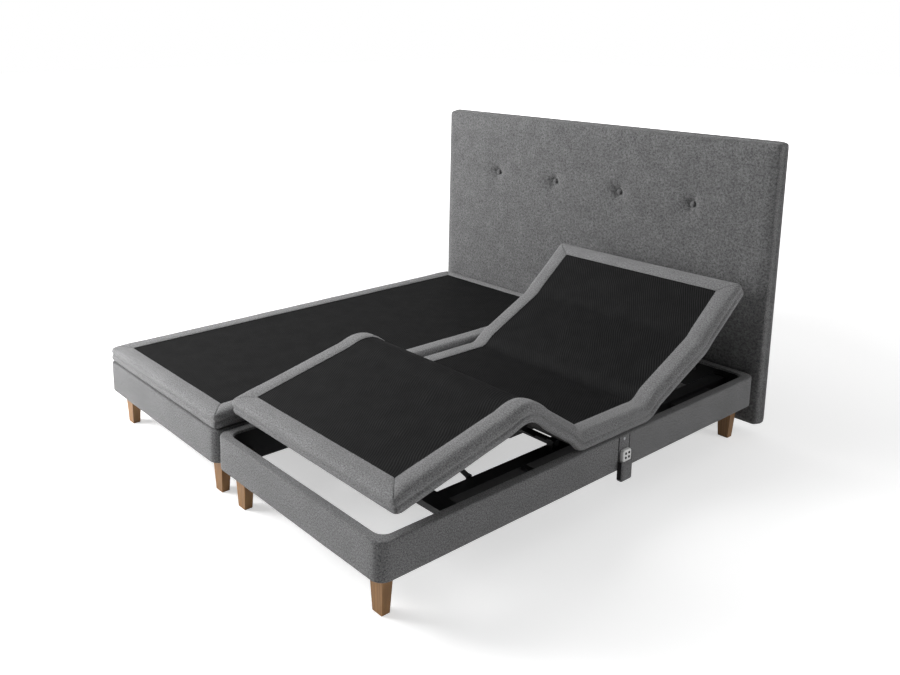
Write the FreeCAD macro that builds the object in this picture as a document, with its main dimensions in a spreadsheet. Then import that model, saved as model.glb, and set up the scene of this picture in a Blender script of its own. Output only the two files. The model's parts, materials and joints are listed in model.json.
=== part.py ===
"""Adjustable bed base: two upholstered frames side by side with one shared headboard.

Each frame carries five platform sections: calf, thigh, seat, back and neck. The right base lies
with its back, neck and knee raised, the left base lies flat. Millimetres. X runs across the bed,
Y from the foot to the headboard, Z up. The origin is on the floor under the middle of the bed.
"""
import FreeCAD, Part
import math
import os
import re

import Sketcher

Vector = FreeCAD.Vector
Placement = FreeCAD.Placement
Rotation = FreeCAD.Rotation

SIZES = [
    ("BedLength", 2000, "frame, foot face to headboard"),
    ("BaseWidth", 900, "width of one base"),
    ("BaseGap", 10, "between the two bases"),
    ("LegHeight", 145, "floor to frame"),
    ("LegTopWidth", 62, "leg across the bed, at the frame"),
    ("LegTopDepth", 43, "leg along the bed, at the frame"),
    ("LegFootWidth", 43, "leg across the bed, on the floor"),
    ("LegFootDepth", 31, "leg along the bed, on the floor"),
    ("LegInset", 74, "frame side to the middle of a leg"),
    ("LegEndInset", 68, "frame end to the middle of a leg"),
    ("RailHeight", 126, "frame board height"),
    ("RailThickness", 35, "frame board thickness"),
    ("RailCorner", 28, "rounding of the frame's corners"),
    ("BlockSize", 72, "corner block that holds a leg"),
    ("BlockHeight", 60, "corner block height"),
    ("RestGap", 1, "platform above the frame boards, when flat"),
    ("PlatformThickness", 64, "platform, underside to top"),
    ("PlatformEdge", 24, "rounding of the platform's top edges"),
    ("PlatformCorner", 34, "rounding of the platform's corners"),
    ("DeckThickness", 15, "plywood deck"),
    ("DeckMargin", 16, "deck edge inside the platform's sides"),
    ("DeckGap", 0.3, "deck to padding"),
    ("DeckEnd", 5, "deck end inside the padding's end"),
    ("DeckCorner", 6, "rounding of a deck's corners"),
    ("HeadGap", 3, "platform to headboard"),
    ("HingeDrop", 16, "hinge axis below the platform's underside"),
    ("ThighLength", 327, "hinge to hinge"),
    ("SeatLength", 354, "hinge to hinge"),
    ("BackLength", 410, "hinge to hinge"),
    ("NeckLength", 337, "hinge to the platform's head end"),
    ("EndGap", 1.5, "section end to hinge line"),
    ("MaxBack", 55, "back section, raised all the way, degrees"),
    ("MaxNeck", 30, "neck section against the back, degrees"),
    ("MaxThigh", 45, "thigh section, raised all the way, degrees"),
    ("RestBack", 25, "right base as it lies, degrees"),
    ("RestNeck", 12.5, "right base as it lies, degrees"),
    ("RestThigh", 33, "right base as it lies, degrees"),
    ("FootRise", 55, "foot end above its flat height, right base as it lies"),
    ("TubeRadius", 13, "hinge tube"),
    ("TubeEnd", 3, "hinge tube past its bearings"),
    ("RunningGap", 0.08, "shaft to bore"),
    ("SideGap", 1, "plates that pass each other"),
    ("CutPast", 1, "how far a cut or a pin runs past a face"),
    ("ArmInset", 90, "chassis tube to the inner arms"),
    ("ArmWidth", 20, "arm across the bed"),
    ("ArmHalf", 9, "half of an arm's height"),
    ("ArmEnd", 70, "outer arm end to the platform's end"),
    ("ArmFoot", 40, "foot between an arm and its deck, along the arm"),
    ("PinRadius", 5, "hinge pin"),
    ("DiscRadius", 14, "ratchet disc of the neck hinge"),
    ("DiscWidth", 5, "ratchet disc thickness"),
    ("CrankLength", 62, "hinge axis to crank tip"),
    ("CrankTip", 9, "crank tip radius"),
    ("CrankHalf", 5, "half of the crank plate's depth"),
    ("CrankWidth", 14, "crank plate thickness"),
    ("PushGap", 0.9, "crank tip to push block"),
    ("ChassisInset", 137, "frame side to the middle of a chassis tube"),
    ("ChassisWidth", 54, "chassis tube across the bed"),
    ("ChassisHeight", 40, "chassis tube height"),
    ("ChassisDrop", 18, "hinge axis above the chassis tubes"),
    ("ChassisWall", 2.5, "chassis tube wall"),
    ("BarDepth", 30, "cross bar along the bed"),
    ("BarHeight", 22, "cross bar height"),
    ("FootBar", 298, "foot end to the foot cross bar"),
    ("FootBarDepth", 72, "foot cross bar along the bed"),
    ("BracketStart", 704, "foot end to the side brackets"),
    ("BracketDepth", 22, "side bracket along the bed"),
    ("BracketHeight", 14, "side bracket height"),
    ("HeadBar", 330, "head end to the head cross bar"),
    ("SeatBar", 84, "hinge to seat cross bar"),
    ("BlockWidth", 26, "bearing block across the bed"),
    ("BlockDepth", 36, "bearing block along the bed"),
    ("BlockGap", 1, "bearing block below the platform"),
    ("RiserWidth", 60, "riser under the seat, across the bed"),
    ("HeadBarDrop", 8, "head cross bar below the tubes' top"),
    ("PlateThickness", 6, "end plate of a chassis tube"),
    ("PlateMargin", 8, "end plate past the tube, above and below"),
    ("DriveWidth", 150, "drive housing across the bed"),
    ("DriveHeight", 70, "drive housing height"),
    ("DriveEnd", 8, "drive housing to a flat-lying crank tip"),
    ("DriveEdge", 10, "rounding of the drive housing"),
    ("PushWidth", 36, "push block across the bed"),
    ("PushHeight", 32, "push block height"),
    ("PushLength", 98, "push block along the bed"),
    ("SlideGap", 0.4, "push block to its tunnel"),
    ("TunnelSpare", 8, "tunnel past the push block's end"),
    ("LinkDrop", 26, "hinge axis above the calf link's pivot"),
    ("LinkReach", 250, "knee to the pin that the link lifts"),
    ("LinkWidth", 8, "calf link thickness"),
    ("LinkHalf", 8, "half of a calf link's height"),
    ("LinkPinRadius", 6, "pivot pin of a calf link"),
    ("LinkBoss", 11, "boss around the pivot pin"),
    ("EyeRadius", 9.6, "opening of the link's eye"),
    ("EyeOuter", 13.4, "outside of the link's eye"),
    ("BoxStart", 1555, "foot end to the control box"),
    ("BoxLength", 250, "control box along the bed"),
    ("BoxDepth", 62, "control box across the bed"),
    ("BoxHeight", 70, "control box height"),
    ("BoxDrop", 36, "control box below the frame's top"),
    ("HeadboardThickness", 80, "headboard, front to back"),
    ("HeadboardHalf", 930, "half of the headboard's width"),
    ("HeadboardTop", 1235, "floor to headboard top"),
    ("HeadboardBottom", 37, "floor to headboard bottom"),
    ("HeadboardBoard", 22, "board behind the padding"),
    ("HeadboardCorner", 16, "rounding of the headboard"),
    ("BoardInset", 6, "board edge inside the padding"),
    ("ButtonHeight", 930, "floor to the row of buttons"),
    ("ButtonPitch", 372, "button to button"),
    ("ButtonRadius", 15, "covered button"),
    ("ButtonThickness", 9, "covered button"),
    ("ButtonSink", 13, "depth of a button's dimple"),
    ("BoltRadius", 4, "headboard bolt"),
    ("BoltSpread", 200, "middle of the base to a headboard bolt"),
    ("BoltHeight", 235, "floor to the headboard bolts"),
    ("BoltReach", 60, "bolt into the headboard"),
    ("BoltGap", 0.1, "bolt to its hole"),
    ("ButtonGap", 1, "covered button to its dimple"),
    ("ClampWidth", 60, "clip that joins the bases, along the bed"),
    ("ClampPlate", 4, "clip plate thickness"),
    ("ClampLip", 30, "clip lip height"),
    ("ClampInset", 420, "bed end to a clip"),
    ("ClampGap", 0.3, "clip to the frame boards"),
    ("HolsterFoot", 1082, "foot face to the handset holster"),
    ("HolsterWidth", 62, "holster along the bed"),
    ("HolsterBottom", 106, "floor to the holster's pocket"),
    ("HolsterMouth", 188, "floor to the pocket's mouth"),
    ("HolsterTop", 270, "floor to the strap's top"),
    ("HolsterSkin", 2, "holster cloth and stiffener"),
    ("HandsetWidth", 46, "handset along the bed"),
    ("HandsetHeight", 114, "handset from end to end"),
    ("HandsetThickness", 15, "handset"),
    ("HandsetGap", 0.5, "handset to holster"),
    ("HandsetCorner", 9, "rounding of the handset's corners, seen from the front"),
    ("HandsetEdge", 4, "rounding of the handset's edges"),
    ("KeyRadius", 4.5, "handset key"),
    ("KeyRise", 1.6, "key above the handset"),
    ("KeySink", 3, "key below the handset's face"),
    ("KeyGap", 0.3, "key to its well"),
    ("KeyTravel", 1.2, "key stroke"),
    ("KeyFloor", 0.4, "pressed key to the floor of its well"),
    ("KeyColumn", 18, "key to key, along the bed"),
    ("KeyRow", 16, "key to key, up the handset"),
    ("KeyTop", 12, "handset top to the upper keys"),
]

document = FreeCAD.newDocument("AdjustableBedBase")
sheet = document.addObject("Spreadsheet::Sheet", "Sizes")
rows = 0


def enter(alias, number, meaning):
    """Writes one size into the sheet."""
    global rows
    rows += 1
    sheet.set(f"A{rows}", meaning)
    sheet.set(f"B{rows}", str(number))
    sheet.setAlias(f"B{rows}", alias)


def size(alias):
    """The number in the sheet."""
    return float(sheet.get(alias))


for entry in SIZES:
    enter(*entry)
document.recompute()


def knee_ratio():
    """Knee turn for each degree of the thigh, from the height that the foot end keeps."""
    calf_length = (size("BedLength") - size("HeadGap") - size("ThighLength") - size("SeatLength")
                   - size("BackLength") - size("NeckLength"))
    rise = size("ThighLength") * math.sin(math.radians(size("RestThigh"))) - size("FootRise")
    return 1 + math.degrees(math.asin(rise / calf_length)) / size("RestThigh")


def link_pin(thigh_turn):
    """Where the calf's link pin lies, from the thigh hinge, along the bed and up."""
    up = math.radians(thigh_turn)
    down = math.radians(thigh_turn * (size("KneeRatio") - 1))
    along = -size("ThighLength") * math.cos(up) - size("LinkReach") * math.cos(down)
    return along, size("ThighLength") * math.sin(up) - size("LinkReach") * math.sin(down)


def enter_linkage():
    """The calf link's pivot, length and turn, which keep its eye around the calf's pin."""
    enter("KneeRatio", round(knee_ratio(), 4), "knee turn for each degree of the thigh")
    document.recompute()
    most = size("MaxThigh")
    flat, halfway, raised = (link_pin(turn) for turn in (0, most / 2, most))
    run, climb = raised[0] - flat[0], raised[1] - flat[1]
    middle = (flat[0] + raised[0]) / 2, (flat[1] + raised[1]) / 2
    pivot = middle[0] + (middle[1] + size("LinkDrop")) * climb / run, -size("LinkDrop")
    rise = [math.degrees(math.atan2(pin[1] - pivot[1], pivot[0] - pin[0])) for pin in (flat, halfway, raised)]
    length = (math.dist(flat, pivot) + math.dist(halfway, pivot)) / 2
    lean = (rise[0] + rise[1] - (rise[2] - rise[0]) / 2) / 2
    enter("LinkBack", round(-pivot[0], 3), "thigh hinge to the calf link's pivot")
    enter("LinkLength", round(length, 3), "calf link, pivot to eye")
    enter("LinkLean", round(lean, 4), "calf link's rise when flat, degrees")
    enter("LinkRatio", round((rise[2] - rise[0]) / most, 4), "link turn for each degree of the thigh")
    document.recompute()


enter_linkage()

# Heights and stations that many pieces share, as formulas of the sheet.
UNDERSIDE = "(LegHeight+RailHeight+RestGap)"
HINGE = f"({UNDERSIDE}-HingeDrop)"
CHASSIS_TOP = f"({HINGE}-ChassisDrop)"
PLATFORM_TOP = "(HingeDrop+PlatformThickness)"
CALF = "(BedLength-HeadGap-ThighLength-SeatLength-BackLength-NeckLength)"
THIGH_HINGE = f"({CALF}+ThighLength)"
BACK_HINGE = f"({THIGH_HINGE}+SeatLength)"
CHASSIS_SPREAD = "(BaseWidth/2-ChassisInset)"
ARM_SPREAD = f"({CHASSIS_SPREAD}-ArmInset)"
OUTER_ARM = f"({ARM_SPREAD}+ArmWidth+SideGap)"
PUSH_MIDDLE = f"({HINGE}-CrankLength-CrankHalf)"

# Where the two feet of an arm stand, as shares of its length.
ARM_FEET = (0.3, 0.8)

subparts = {}


def formula(text):
    """Points the capitalised words of a formula at the sheet."""
    return re.sub(r"\b([A-Z]\w*)", r"Sizes.\1", text)


def bind(item, prop, text):
    """Ties a property to the sheet."""
    item.setExpression(prop, formula(text))


def keep(item, label, frame=None):
    """Names a finished sub-part and puts it in its place."""
    document.recompute()
    item.Label = label
    if frame is not None:
        item.Placement = frame
    subparts[label] = item
    return item


def block(name, low, dims):
    """A box from its low corner, as formulas."""
    item = document.addObject("Part::Box", name)
    for prop, text in zip(("Length", "Width", "Height"), dims):
        bind(item, prop, text)
    for axis, text in zip("xyz", low):
        bind(item, f"Placement.Base.{axis}", text)
    return item


def rod(name, radius, length, start, turn=Rotation(Vector(0, 1, 0), 90)):
    """A round bar from its start point, along +X unless turned."""
    item = document.addObject("Part::Cylinder", name)
    bind(item, "Radius", radius)
    bind(item, "Height", length)
    item.Placement = Placement(Vector(), turn)
    for axis, text in zip("xyz", start):
        bind(item, f"Placement.Base.{axis}", text)
    return item


ALONG_Y = Rotation(Vector(1, 0, 0), -90)


def joined(name, pieces):
    """Several shapes welded into one."""
    item = document.addObject("Part::MultiFuse", name)
    item.Shapes = pieces
    return item


def drilled(name, base, tools):
    """A shape with others cut out of it."""
    item = document.addObject("Part::Cut", name)
    item.Base = base
    item.Tool = tools[0] if len(tools) == 1 else joined(name + "_tools", tools)
    return item


def gathered(name, pieces):
    """Separate solids that make one sub-part."""
    item = document.addObject("Part::Compound", name)
    item.Links = pieces
    return item


def outline(body, name, plane, points, lift=None):
    """A closed polygon on an origin plane, every corner tied to the sheet."""
    sketch = body.newObject("Sketcher::SketchObject", name)
    origin = [part for part in body.Origin.OriginFeatures if part.Role == plane][0]
    sketch.AttachmentSupport = [(origin, "")]
    sketch.MapMode = "FlatFace"
    if lift:
        bind(sketch, "AttachmentOffset.Base.z", lift)
    count = len(points)
    for index in range(count):
        turn = 2 * math.pi * index / count
        after = 2 * math.pi * (index + 1) / count
        start = Vector(math.cos(turn), math.sin(turn), 0)
        end = Vector(math.cos(after), math.sin(after), 0)
        sketch.addGeometry(Part.LineSegment(start * 100, end * 100))
    for index in range(count):
        sketch.addConstraint(Sketcher.Constraint("Coincident", index, 2, (index + 1) % count, 1))
    for index, corner in enumerate(points):
        for kind, text in zip("XY", corner):
            start = sketch.Geometry[index].StartPoint
            now = start.x if kind == "X" else start.y
            rule = Sketcher.Constraint(f"Distance{kind}", -1, 1, index, 1, now)
            number = sketch.addConstraint(rule)
            sketch.renameConstraint(number, f"{kind}{index}")
            bind(sketch, f"Constraints.{kind}{index}", text)
    return sketch


def profile(name, points, width):
    """A body with one outline in the YZ plane, padded evenly to both sides."""
    body = document.addObject("PartDesign::Body", name)
    pad = body.newObject("PartDesign::Pad", name + "_pad")
    pad.Profile = outline(body, name + "_outline", "YZ_Plane", points)
    bind(pad, "Length", width)
    pad.Midplane = True
    document.recompute()
    return body


def slab(name, low, high, height):
    """A body with a rectangle in the XY plane, padded upwards. low holds x, y and z, high x and y."""
    body = document.addObject("PartDesign::Body", name)
    corners = [low[:2], (high[0], low[1]), high, (low[0], high[1])]
    pad = body.newObject("PartDesign::Pad", name + "_pad")
    pad.Profile = outline(body, name + "_outline", "XY_Plane", corners, low[2])
    bind(pad, "Length", height)
    document.recompute()
    return body


def rounded(body, radius, wanted):
    """Rounds the edges that wanted accepts, by middle point and direction."""
    base = body.Tip
    chosen = []
    for number, edge in enumerate(base.Shape.Edges, 1):
        way = edge.Vertexes[-1].Point - edge.Vertexes[0].Point
        if wanted(edge.CenterOfMass, way):
            chosen.append(f"Edge{number}")
    fillet = body.newObject("PartDesign::Fillet", body.Name + "_round")
    fillet.Base = (base, chosen)
    bind(fillet, "Radius", radius)
    body.Tip = fillet
    document.recompute()
    return body


def is_upright(way):
    """Whether an edge runs straight up."""
    return abs(way.z) > 0.9 * way.Length and way.Length > 0


# ---------------------------------------------------------------- the fixed part of one base

def frame_boards(side, where):
    """Four upholstered boards, the end boards with the corner blocks that hold the legs."""
    names = ("outer", "inner") if side == "right" else ("inner", "outer")
    for name, sign in zip(names, ("", "-")):
        low, high = f"{sign}(BaseWidth/2-RailThickness)", f"{sign}(BaseWidth/2)"
        board = slab(f"{name}_rail_{side}", (low, "0", "LegHeight"), (high, "BedLength"), "RailHeight")
        rounded(board, "RailCorner", lambda middle, way: is_upright(way)
                and middle.y < size("RailThickness") and abs(middle.x) > size("BaseWidth") / 2 - 1)
        keep(board, f"{name}_rail_{side}", where)
    for name, start in (("foot", "0"), ("head", "(BedLength-RailThickness)")):
        half = "(BaseWidth/2-RailThickness)"
        board = block(f"{name}_board_{side}", (f"-{half}", start, "LegHeight"),
                      (f"2*{half}", "RailThickness", "RailHeight"))
        if name == "head":
            bolts = [rod(f"bolt_hole_{side}_{sign}1", "BoltRadius+BoltGap", "RailThickness+2*CutPast",
                         (f"{sign}BoltSpread", f"{start}-CutPast", "BoltHeight"), ALONG_Y)
                     for sign in ("-", "")]
            board = drilled(f"head_board_drilled_{side}", board, bolts)
        inner = "RailThickness" if name == "foot" else "(BedLength-RailThickness-BlockSize)"
        blocks = [block(f"{name}_block_{side}_{sign}1", (low, inner, "LegHeight"),
                        ("BlockSize", "BlockSize", "BlockHeight"))
                  for sign, low in (("-", f"-{half}"), ("", f"({half}-BlockSize)"))]
        keep(gathered(f"{name}_rail_{side}_all", [board] + blocks), f"{name}_rail_{side}", where)


def legs(side, where):
    """Four tapered oak legs, narrower on the floor."""
    members = []
    for across in (-1, 1):
        for along in (0, 1):
            wedge = document.addObject("Part::Wedge", f"leg_{side}_{across}_{along}")
            for prop, text in (("Xmin", "-LegFootWidth/2"), ("Xmax", "LegFootWidth/2"),
                               ("Zmin", "-LegFootDepth/2"), ("Zmax", "LegFootDepth/2"),
                               ("X2min", "-LegTopWidth/2"), ("X2max", "LegTopWidth/2"),
                               ("Z2min", "-LegTopDepth/2"), ("Z2max", "LegTopDepth/2")):
                bind(wedge, prop, text)
            wedge.Ymin = 0
            bind(wedge, "Ymax", "LegHeight")
            wedge.Placement = Placement(Vector(), Rotation(Vector(1, 0, 0), 90))
            bind(wedge, "Placement.Base.x", f"{across}*(BaseWidth/2-LegInset)")
            bind(wedge, "Placement.Base.y", "LegEndInset" if along == 0 else "BedLength-LegEndInset")
            members.append(wedge)
    keep(gathered(f"legs_{side}_all", members), f"legs_{side}", where)


def chassis(side, where):
    """Steel tubes along the base, cross bars, and the bearing blocks of the two hinge tubes."""
    members = []
    wall = "(BaseWidth/2-RailThickness)"
    tube_start = "(FootBar+FootBarDepth)"
    tube_run = f"(BedLength-RailThickness-PlateThickness-{tube_start})"
    for sign in ("-", ""):
        middle = f"{sign}{CHASSIS_SPREAD}"
        low = f"{middle}-ChassisWidth/2"
        name = f"chassis_tube_{side}_{len(members)}"
        tube = block(name, (low, tube_start, f"{CHASSIS_TOP}-ChassisHeight"),
                     ("ChassisWidth", tube_run, "ChassisHeight"))
        hollow = block(name + "_hollow",
                       (f"{low}+ChassisWall", tube_start, f"{CHASSIS_TOP}-ChassisHeight+ChassisWall"),
                       ("ChassisWidth-2*ChassisWall", tube_run, "ChassisHeight-2*ChassisWall"))
        pivot = rod(name + "_pivot", "LinkPinRadius+RunningGap", "ChassisWidth+2*CutPast",
                    (f"{low}-CutPast", f"{THIGH_HINGE}-LinkBack", f"{HINGE}-LinkDrop"))
        members.append(drilled(name + "_drilled", tube, [hollow, pivot]))
        members.append(block(f"{name}_plate",
                             (low, "(BedLength-RailThickness-PlateThickness)",
                              f"{CHASSIS_TOP}-ChassisHeight-PlateMargin"),
                             ("ChassisWidth", "PlateThickness", "ChassisHeight+2*PlateMargin")))
        start = f"-{wall}" if sign else f"{middle}+ChassisWidth/2"
        members.append(block(f"{name}_bracket", (start, "BracketStart", f"{CHASSIS_TOP}-BracketHeight"),
                             ("ChassisInset-ChassisWidth/2-RailThickness", "BracketDepth",
                              "BracketHeight")))
        for end, station in enumerate((THIGH_HINGE, BACK_HINGE)):
            bearing = block(f"{name}_bearing_{end}",
                            (f"{middle}-BlockWidth/2", f"{station}-BlockDepth/2", CHASSIS_TOP),
                            ("BlockWidth", "BlockDepth", f"{UNDERSIDE}-{CHASSIS_TOP}-BlockGap"))
            bore = rod(f"{name}_bore_{end}", "TubeRadius+RunningGap", "BlockWidth+2*CutPast",
                       (f"{middle}-BlockWidth/2-CutPast", station, HINGE))
            members.append(drilled(f"{name}_bearing_{end}_bored", bearing, [bore]))
    members.append(block(f"foot_bar_{side}", (f"-{wall}", "FootBar", f"{CHASSIS_TOP}-BarHeight"),
                         (f"2*{wall}", "FootBarDepth", "BarHeight")))
    reach = f"({CHASSIS_SPREAD}-ChassisWidth/2)"
    members.append(block(f"head_bar_{side}",
                         (f"-{reach}", "BedLength-HeadBar", f"{CHASSIS_TOP}-BarHeight-HeadBarDrop"),
                         (f"2*{reach}", "BarDepth", "BarHeight")))
    reach = f"({CHASSIS_SPREAD}+ChassisWidth/2)"
    for name, station in (("thigh", f"{THIGH_HINGE}+SeatBar"), ("back", f"{BACK_HINGE}-SeatBar-BarDepth")):
        members.append(block(f"{name}_seat_bar_{side}", (f"-{reach}", station, CHASSIS_TOP),
                             (f"2*{reach}", "BarDepth", "BarHeight")))
        for number, sign in enumerate(("-", "")):
            members.append(block(f"{name}_riser_{side}_{number}",
                                 (f"{sign}{ARM_SPREAD}-RiserWidth/2", station,
                                  f"{CHASSIS_TOP}+BarHeight"),
                                 ("RiserWidth", "BarDepth", f"{UNDERSIDE}-{CHASSIS_TOP}-BarHeight")))
    keep(gathered(f"chassis_{side}_all", members), f"chassis_{side}", where)


def push_travel(most):
    """How far a push block moves for each degree that its crank turns."""
    return 2 * size("CrankLength") * math.sin(math.radians(size(most) / 2)) / size(most)


def drive(side, where):
    """Twin drive under the seat: a housing with a tunnel at each end, and the two push blocks."""
    back_lean, leg_lean = "MaxBack/2", "MaxThigh/2"
    foot_end = f"({THIGH_HINGE}+CrankLength*sin({leg_lean})+CrankTip+DriveEnd)"
    head_end = f"({BACK_HINGE}-CrankLength*sin({back_lean})-CrankTip-DriveEnd)"
    shell = slab(f"drive_shell_{side}", ("-DriveWidth/2", foot_end, f"{CHASSIS_TOP}-DriveHeight"),
                 ("DriveWidth/2", head_end), "DriveHeight")
    rounded(shell, "DriveEdge", lambda middle, way: is_upright(way))
    tunnels = []
    depth = "(PushLength+TunnelSpare)"
    for name, start in (("foot", f"{foot_end}-CutPast"), ("head", f"{head_end}+CutPast-{depth}")):
        low = ("-PushWidth/2-SlideGap", start, f"{PUSH_MIDDLE}-PushHeight/2-SlideGap")
        tunnels.append(block(f"tunnel_{name}_{side}", low,
                             ("PushWidth+2*SlideGap", depth, "PushHeight+2*SlideGap")))
    keep(drilled(f"drive_housing_{side}_cut", shell, tunnels), f"drive_housing_{side}", where)
    back_face = f"({BACK_HINGE}-CrankLength*sin({back_lean})-CrankTip-PushGap-PushLength)"
    leg_face = f"({THIGH_HINGE}+CrankLength*sin({leg_lean})+CrankTip+PushGap)"
    for name, start, most, rest, way in (("back", back_face, "MaxBack", "RestBack", 1),
                                         ("leg", leg_face, "MaxThigh", "RestThigh", -1)):
        pusher = block(f"{name}_push_{side}", ("-PushWidth/2", start, f"{PUSH_MIDDLE}-PushHeight/2"),
                       ("PushWidth", "PushLength", "PushHeight"))
        moved = way * push_travel(most) * size(rest) if side == "right" else 0
        keep(gathered(f"{name}_push_{side}_all", [pusher]), f"{name}_push_block_{side}",
             where * Placement(Vector(0, moved, 0), Rotation()))


# ------------------------------------------------- the platform's sections, each about its hinge

def deck_and_pad(section, side, frame, foot, head, low_slant="0", high_slant="0", soft_end=None):
    """Plywood deck in the recess of its padding. foot and head are stations from the hinge.

    The padding's ends lean away from the hinge by low_slant and high_slant degrees. soft_end is
    -1 or 1 where an end of the platform lies there, with its corners rounded.
    """
    rise, deck_top = "HingeDrop", "(HingeDrop+DeckThickness)"
    half = "(BaseWidth/2-DeckMargin)"
    deck_foot = f"({foot}+{deck_top}*tan({low_slant})+EndGap+DeckEnd)"
    deck_head = f"({head}-{deck_top}*tan({high_slant})-EndGap-DeckEnd)"
    if soft_end == -1:
        deck_foot = f"({foot}+DeckMargin)"
    if soft_end == 1:
        deck_head = f"({head}-DeckMargin)"
    deck = slab(f"{section}_deck_{side}_body", (f"-{half}", deck_foot, rise), (half, deck_head),
                "DeckThickness")
    rounded(deck, "DeckCorner", lambda middle, way: is_upright(way))
    keep(deck, f"{section}_deck_{side}", frame)

    def end(station, slant, height, way):
        gap = "0" if soft_end == way else "EndGap"
        return f"{station}{'+' if way < 0 else '-'}({height}*tan({slant})+{gap})"

    points = [(end(foot, low_slant, rise, -1), rise), (end(head, high_slant, rise, 1), rise),
              (end(head, high_slant, PLATFORM_TOP, 1), PLATFORM_TOP),
              (end(foot, low_slant, PLATFORM_TOP, -1), PLATFORM_TOP)]
    pad = profile(f"{section}_pad_{side}_body", points, "BaseWidth")
    before = pad.Shape.Volume
    recess = pad.newObject("PartDesign::Pocket", f"{section}_recess_{side}")
    inner = "(BaseWidth/2-DeckMargin+DeckGap)"
    low_edge, high_edge = f"({deck_foot}-DeckGap)", f"({deck_head}+DeckGap)"
    corners = [(f"-{inner}", low_edge), (inner, low_edge), (inner, high_edge), (f"-{inner}", high_edge)]
    recess.Profile = outline(pad, f"{section}_recess_outline_{side}", "XY_Plane", corners, rise)
    bind(recess, "Length", "DeckThickness+DeckGap")
    recess.Reversed = True
    document.recompute()
    if not pad.Shape.Volume < before - 1:
        raise RuntimeError(f"the recess of {section}_pad_{side} cuts nothing")
    half_width, top = size("BaseWidth") / 2, size("HingeDrop") + size("PlatformThickness")
    box = pad.Shape.BoundBox
    far = max(abs(box.YMin), abs(box.YMax))
    if soft_end:
        rounded(pad, "PlatformCorner", lambda middle, way: is_upright(way)
                and abs(middle.x) > half_width - 1 and middle.y * soft_end > far - 1)
    rounded(pad, "PlatformEdge", lambda middle, way: middle.z > top - 0.5 and (
        abs(middle.x) > half_width - size("PlatformCorner") / 2 or middle.y * (soft_end or 0) > far - 1))
    keep(pad, f"{section}_pad_{side}", frame)


def arm(name, length, sign, outer, extra=()):
    """One steel arm from its own hinge at the origin to length, with pads up to the deck."""
    spread = OUTER_ARM if outer else ARM_SPREAD
    low = f"({sign}({spread}+ArmWidth/2)-ArmWidth/2)"
    ahead = not length.startswith("-")
    run = length if ahead else length[1:]
    start = "0" if ahead else f"-{run}"
    parts = [block(f"{name}_bar", (low, start, "-ArmHalf"), ("ArmWidth", run, "2*ArmHalf"))]
    parts.append(rod(f"{name}_end", "ArmHalf", "ArmWidth", (low, "0" if outer else length, "0")))
    for number, share in enumerate(ARM_FEET):
        parts.append(block(f"{name}_foot_{number}", (low, f"{share}*{length}-ArmFoot/2", "ArmHalf-CutPast"),
                           ("ArmWidth", "ArmFoot", "HingeDrop-ArmHalf+CutPast")))
    welded = joined(f"{name}_welded", parts + list(extra))
    if outer:
        return welded
    through, near = "ArmWidth+2*CutPast", f"{low}-CutPast"
    saddle = rod(f"{name}_saddle", "TubeRadius", through, (near, "0", "0"))
    hole = rod(f"{name}_hole", "PinRadius+RunningGap", through, (near, length, "0"))
    return drilled(f"{name}_cut", welded, [saddle, hole])


def lifting_frame(section, side, frame, length, lean):
    """Hinge tube with its crank, and the two arms welded to it."""
    name = f"{section}_frame_{side}"
    reach = f"({CHASSIS_SPREAD}+BlockWidth/2+TubeEnd)"
    tube = rod(f"{name}_tube", "TubeRadius", f"2*{reach}", (f"-{reach}", "0", "0"))
    crank = block(f"{name}_crank", ("-CrankWidth/2", "-CrankHalf", "-CrankLength"),
                  ("CrankWidth", "2*CrankHalf", "CrankLength"))
    tip = rod(f"{name}_tip", "CrankTip", "CrankWidth", ("-CrankWidth/2", "0", "-CrankLength"))
    lever = joined(f"{name}_lever", [crank, tip])
    document.recompute()
    lever.Placement = Placement(Vector(), Rotation(Vector(1, 0, 0), lean))
    members = [joined(f"{name}_shaft", [tube, lever])]
    for number, sign in enumerate(("-", "")):
        members.append(arm(f"{name}_arm_{number}", length, sign, False))
    keep(gathered(f"{name}_all", members), name, frame)


def hinged_arms(section, side, frame, length, ratchet=False, link_pin=False):
    """Two outer arms with hinge pins that reach into the arms of the section before."""
    name = f"{section}_arms_{side}"
    members = []
    for number, sign in enumerate(("-", "")):
        inner = f"{sign}({OUTER_ARM})"
        reach = "(ArmWidth+SideGap+2*CutPast)"
        pin_low = f"{inner}" if sign else f"{inner}-{reach}"
        extra = [rod(f"{name}_pin_{number}", "PinRadius", reach, (pin_low, "0", "0"))]
        outer_face = f"({OUTER_ARM}+ArmWidth)"
        if ratchet:
            disc_low = f"-{outer_face}-DiscWidth" if sign else outer_face
            extra.append(rod(f"{name}_disc_{number}", "DiscRadius", "DiscWidth", (disc_low, "0", "0")))
        if link_pin:
            stub = "(2*SideGap+LinkWidth+2*CutPast)"
            stub_low = f"-{outer_face}-{stub}" if sign else outer_face
            extra.append(rod(f"{name}_stub_{number}", "PinRadius", stub, (stub_low, "-LinkReach", "0")))
        members.append(arm(f"{name}_arm_{number}", length, sign, True, extra))
    keep(gathered(f"{name}_all", members), name, frame)


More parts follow.
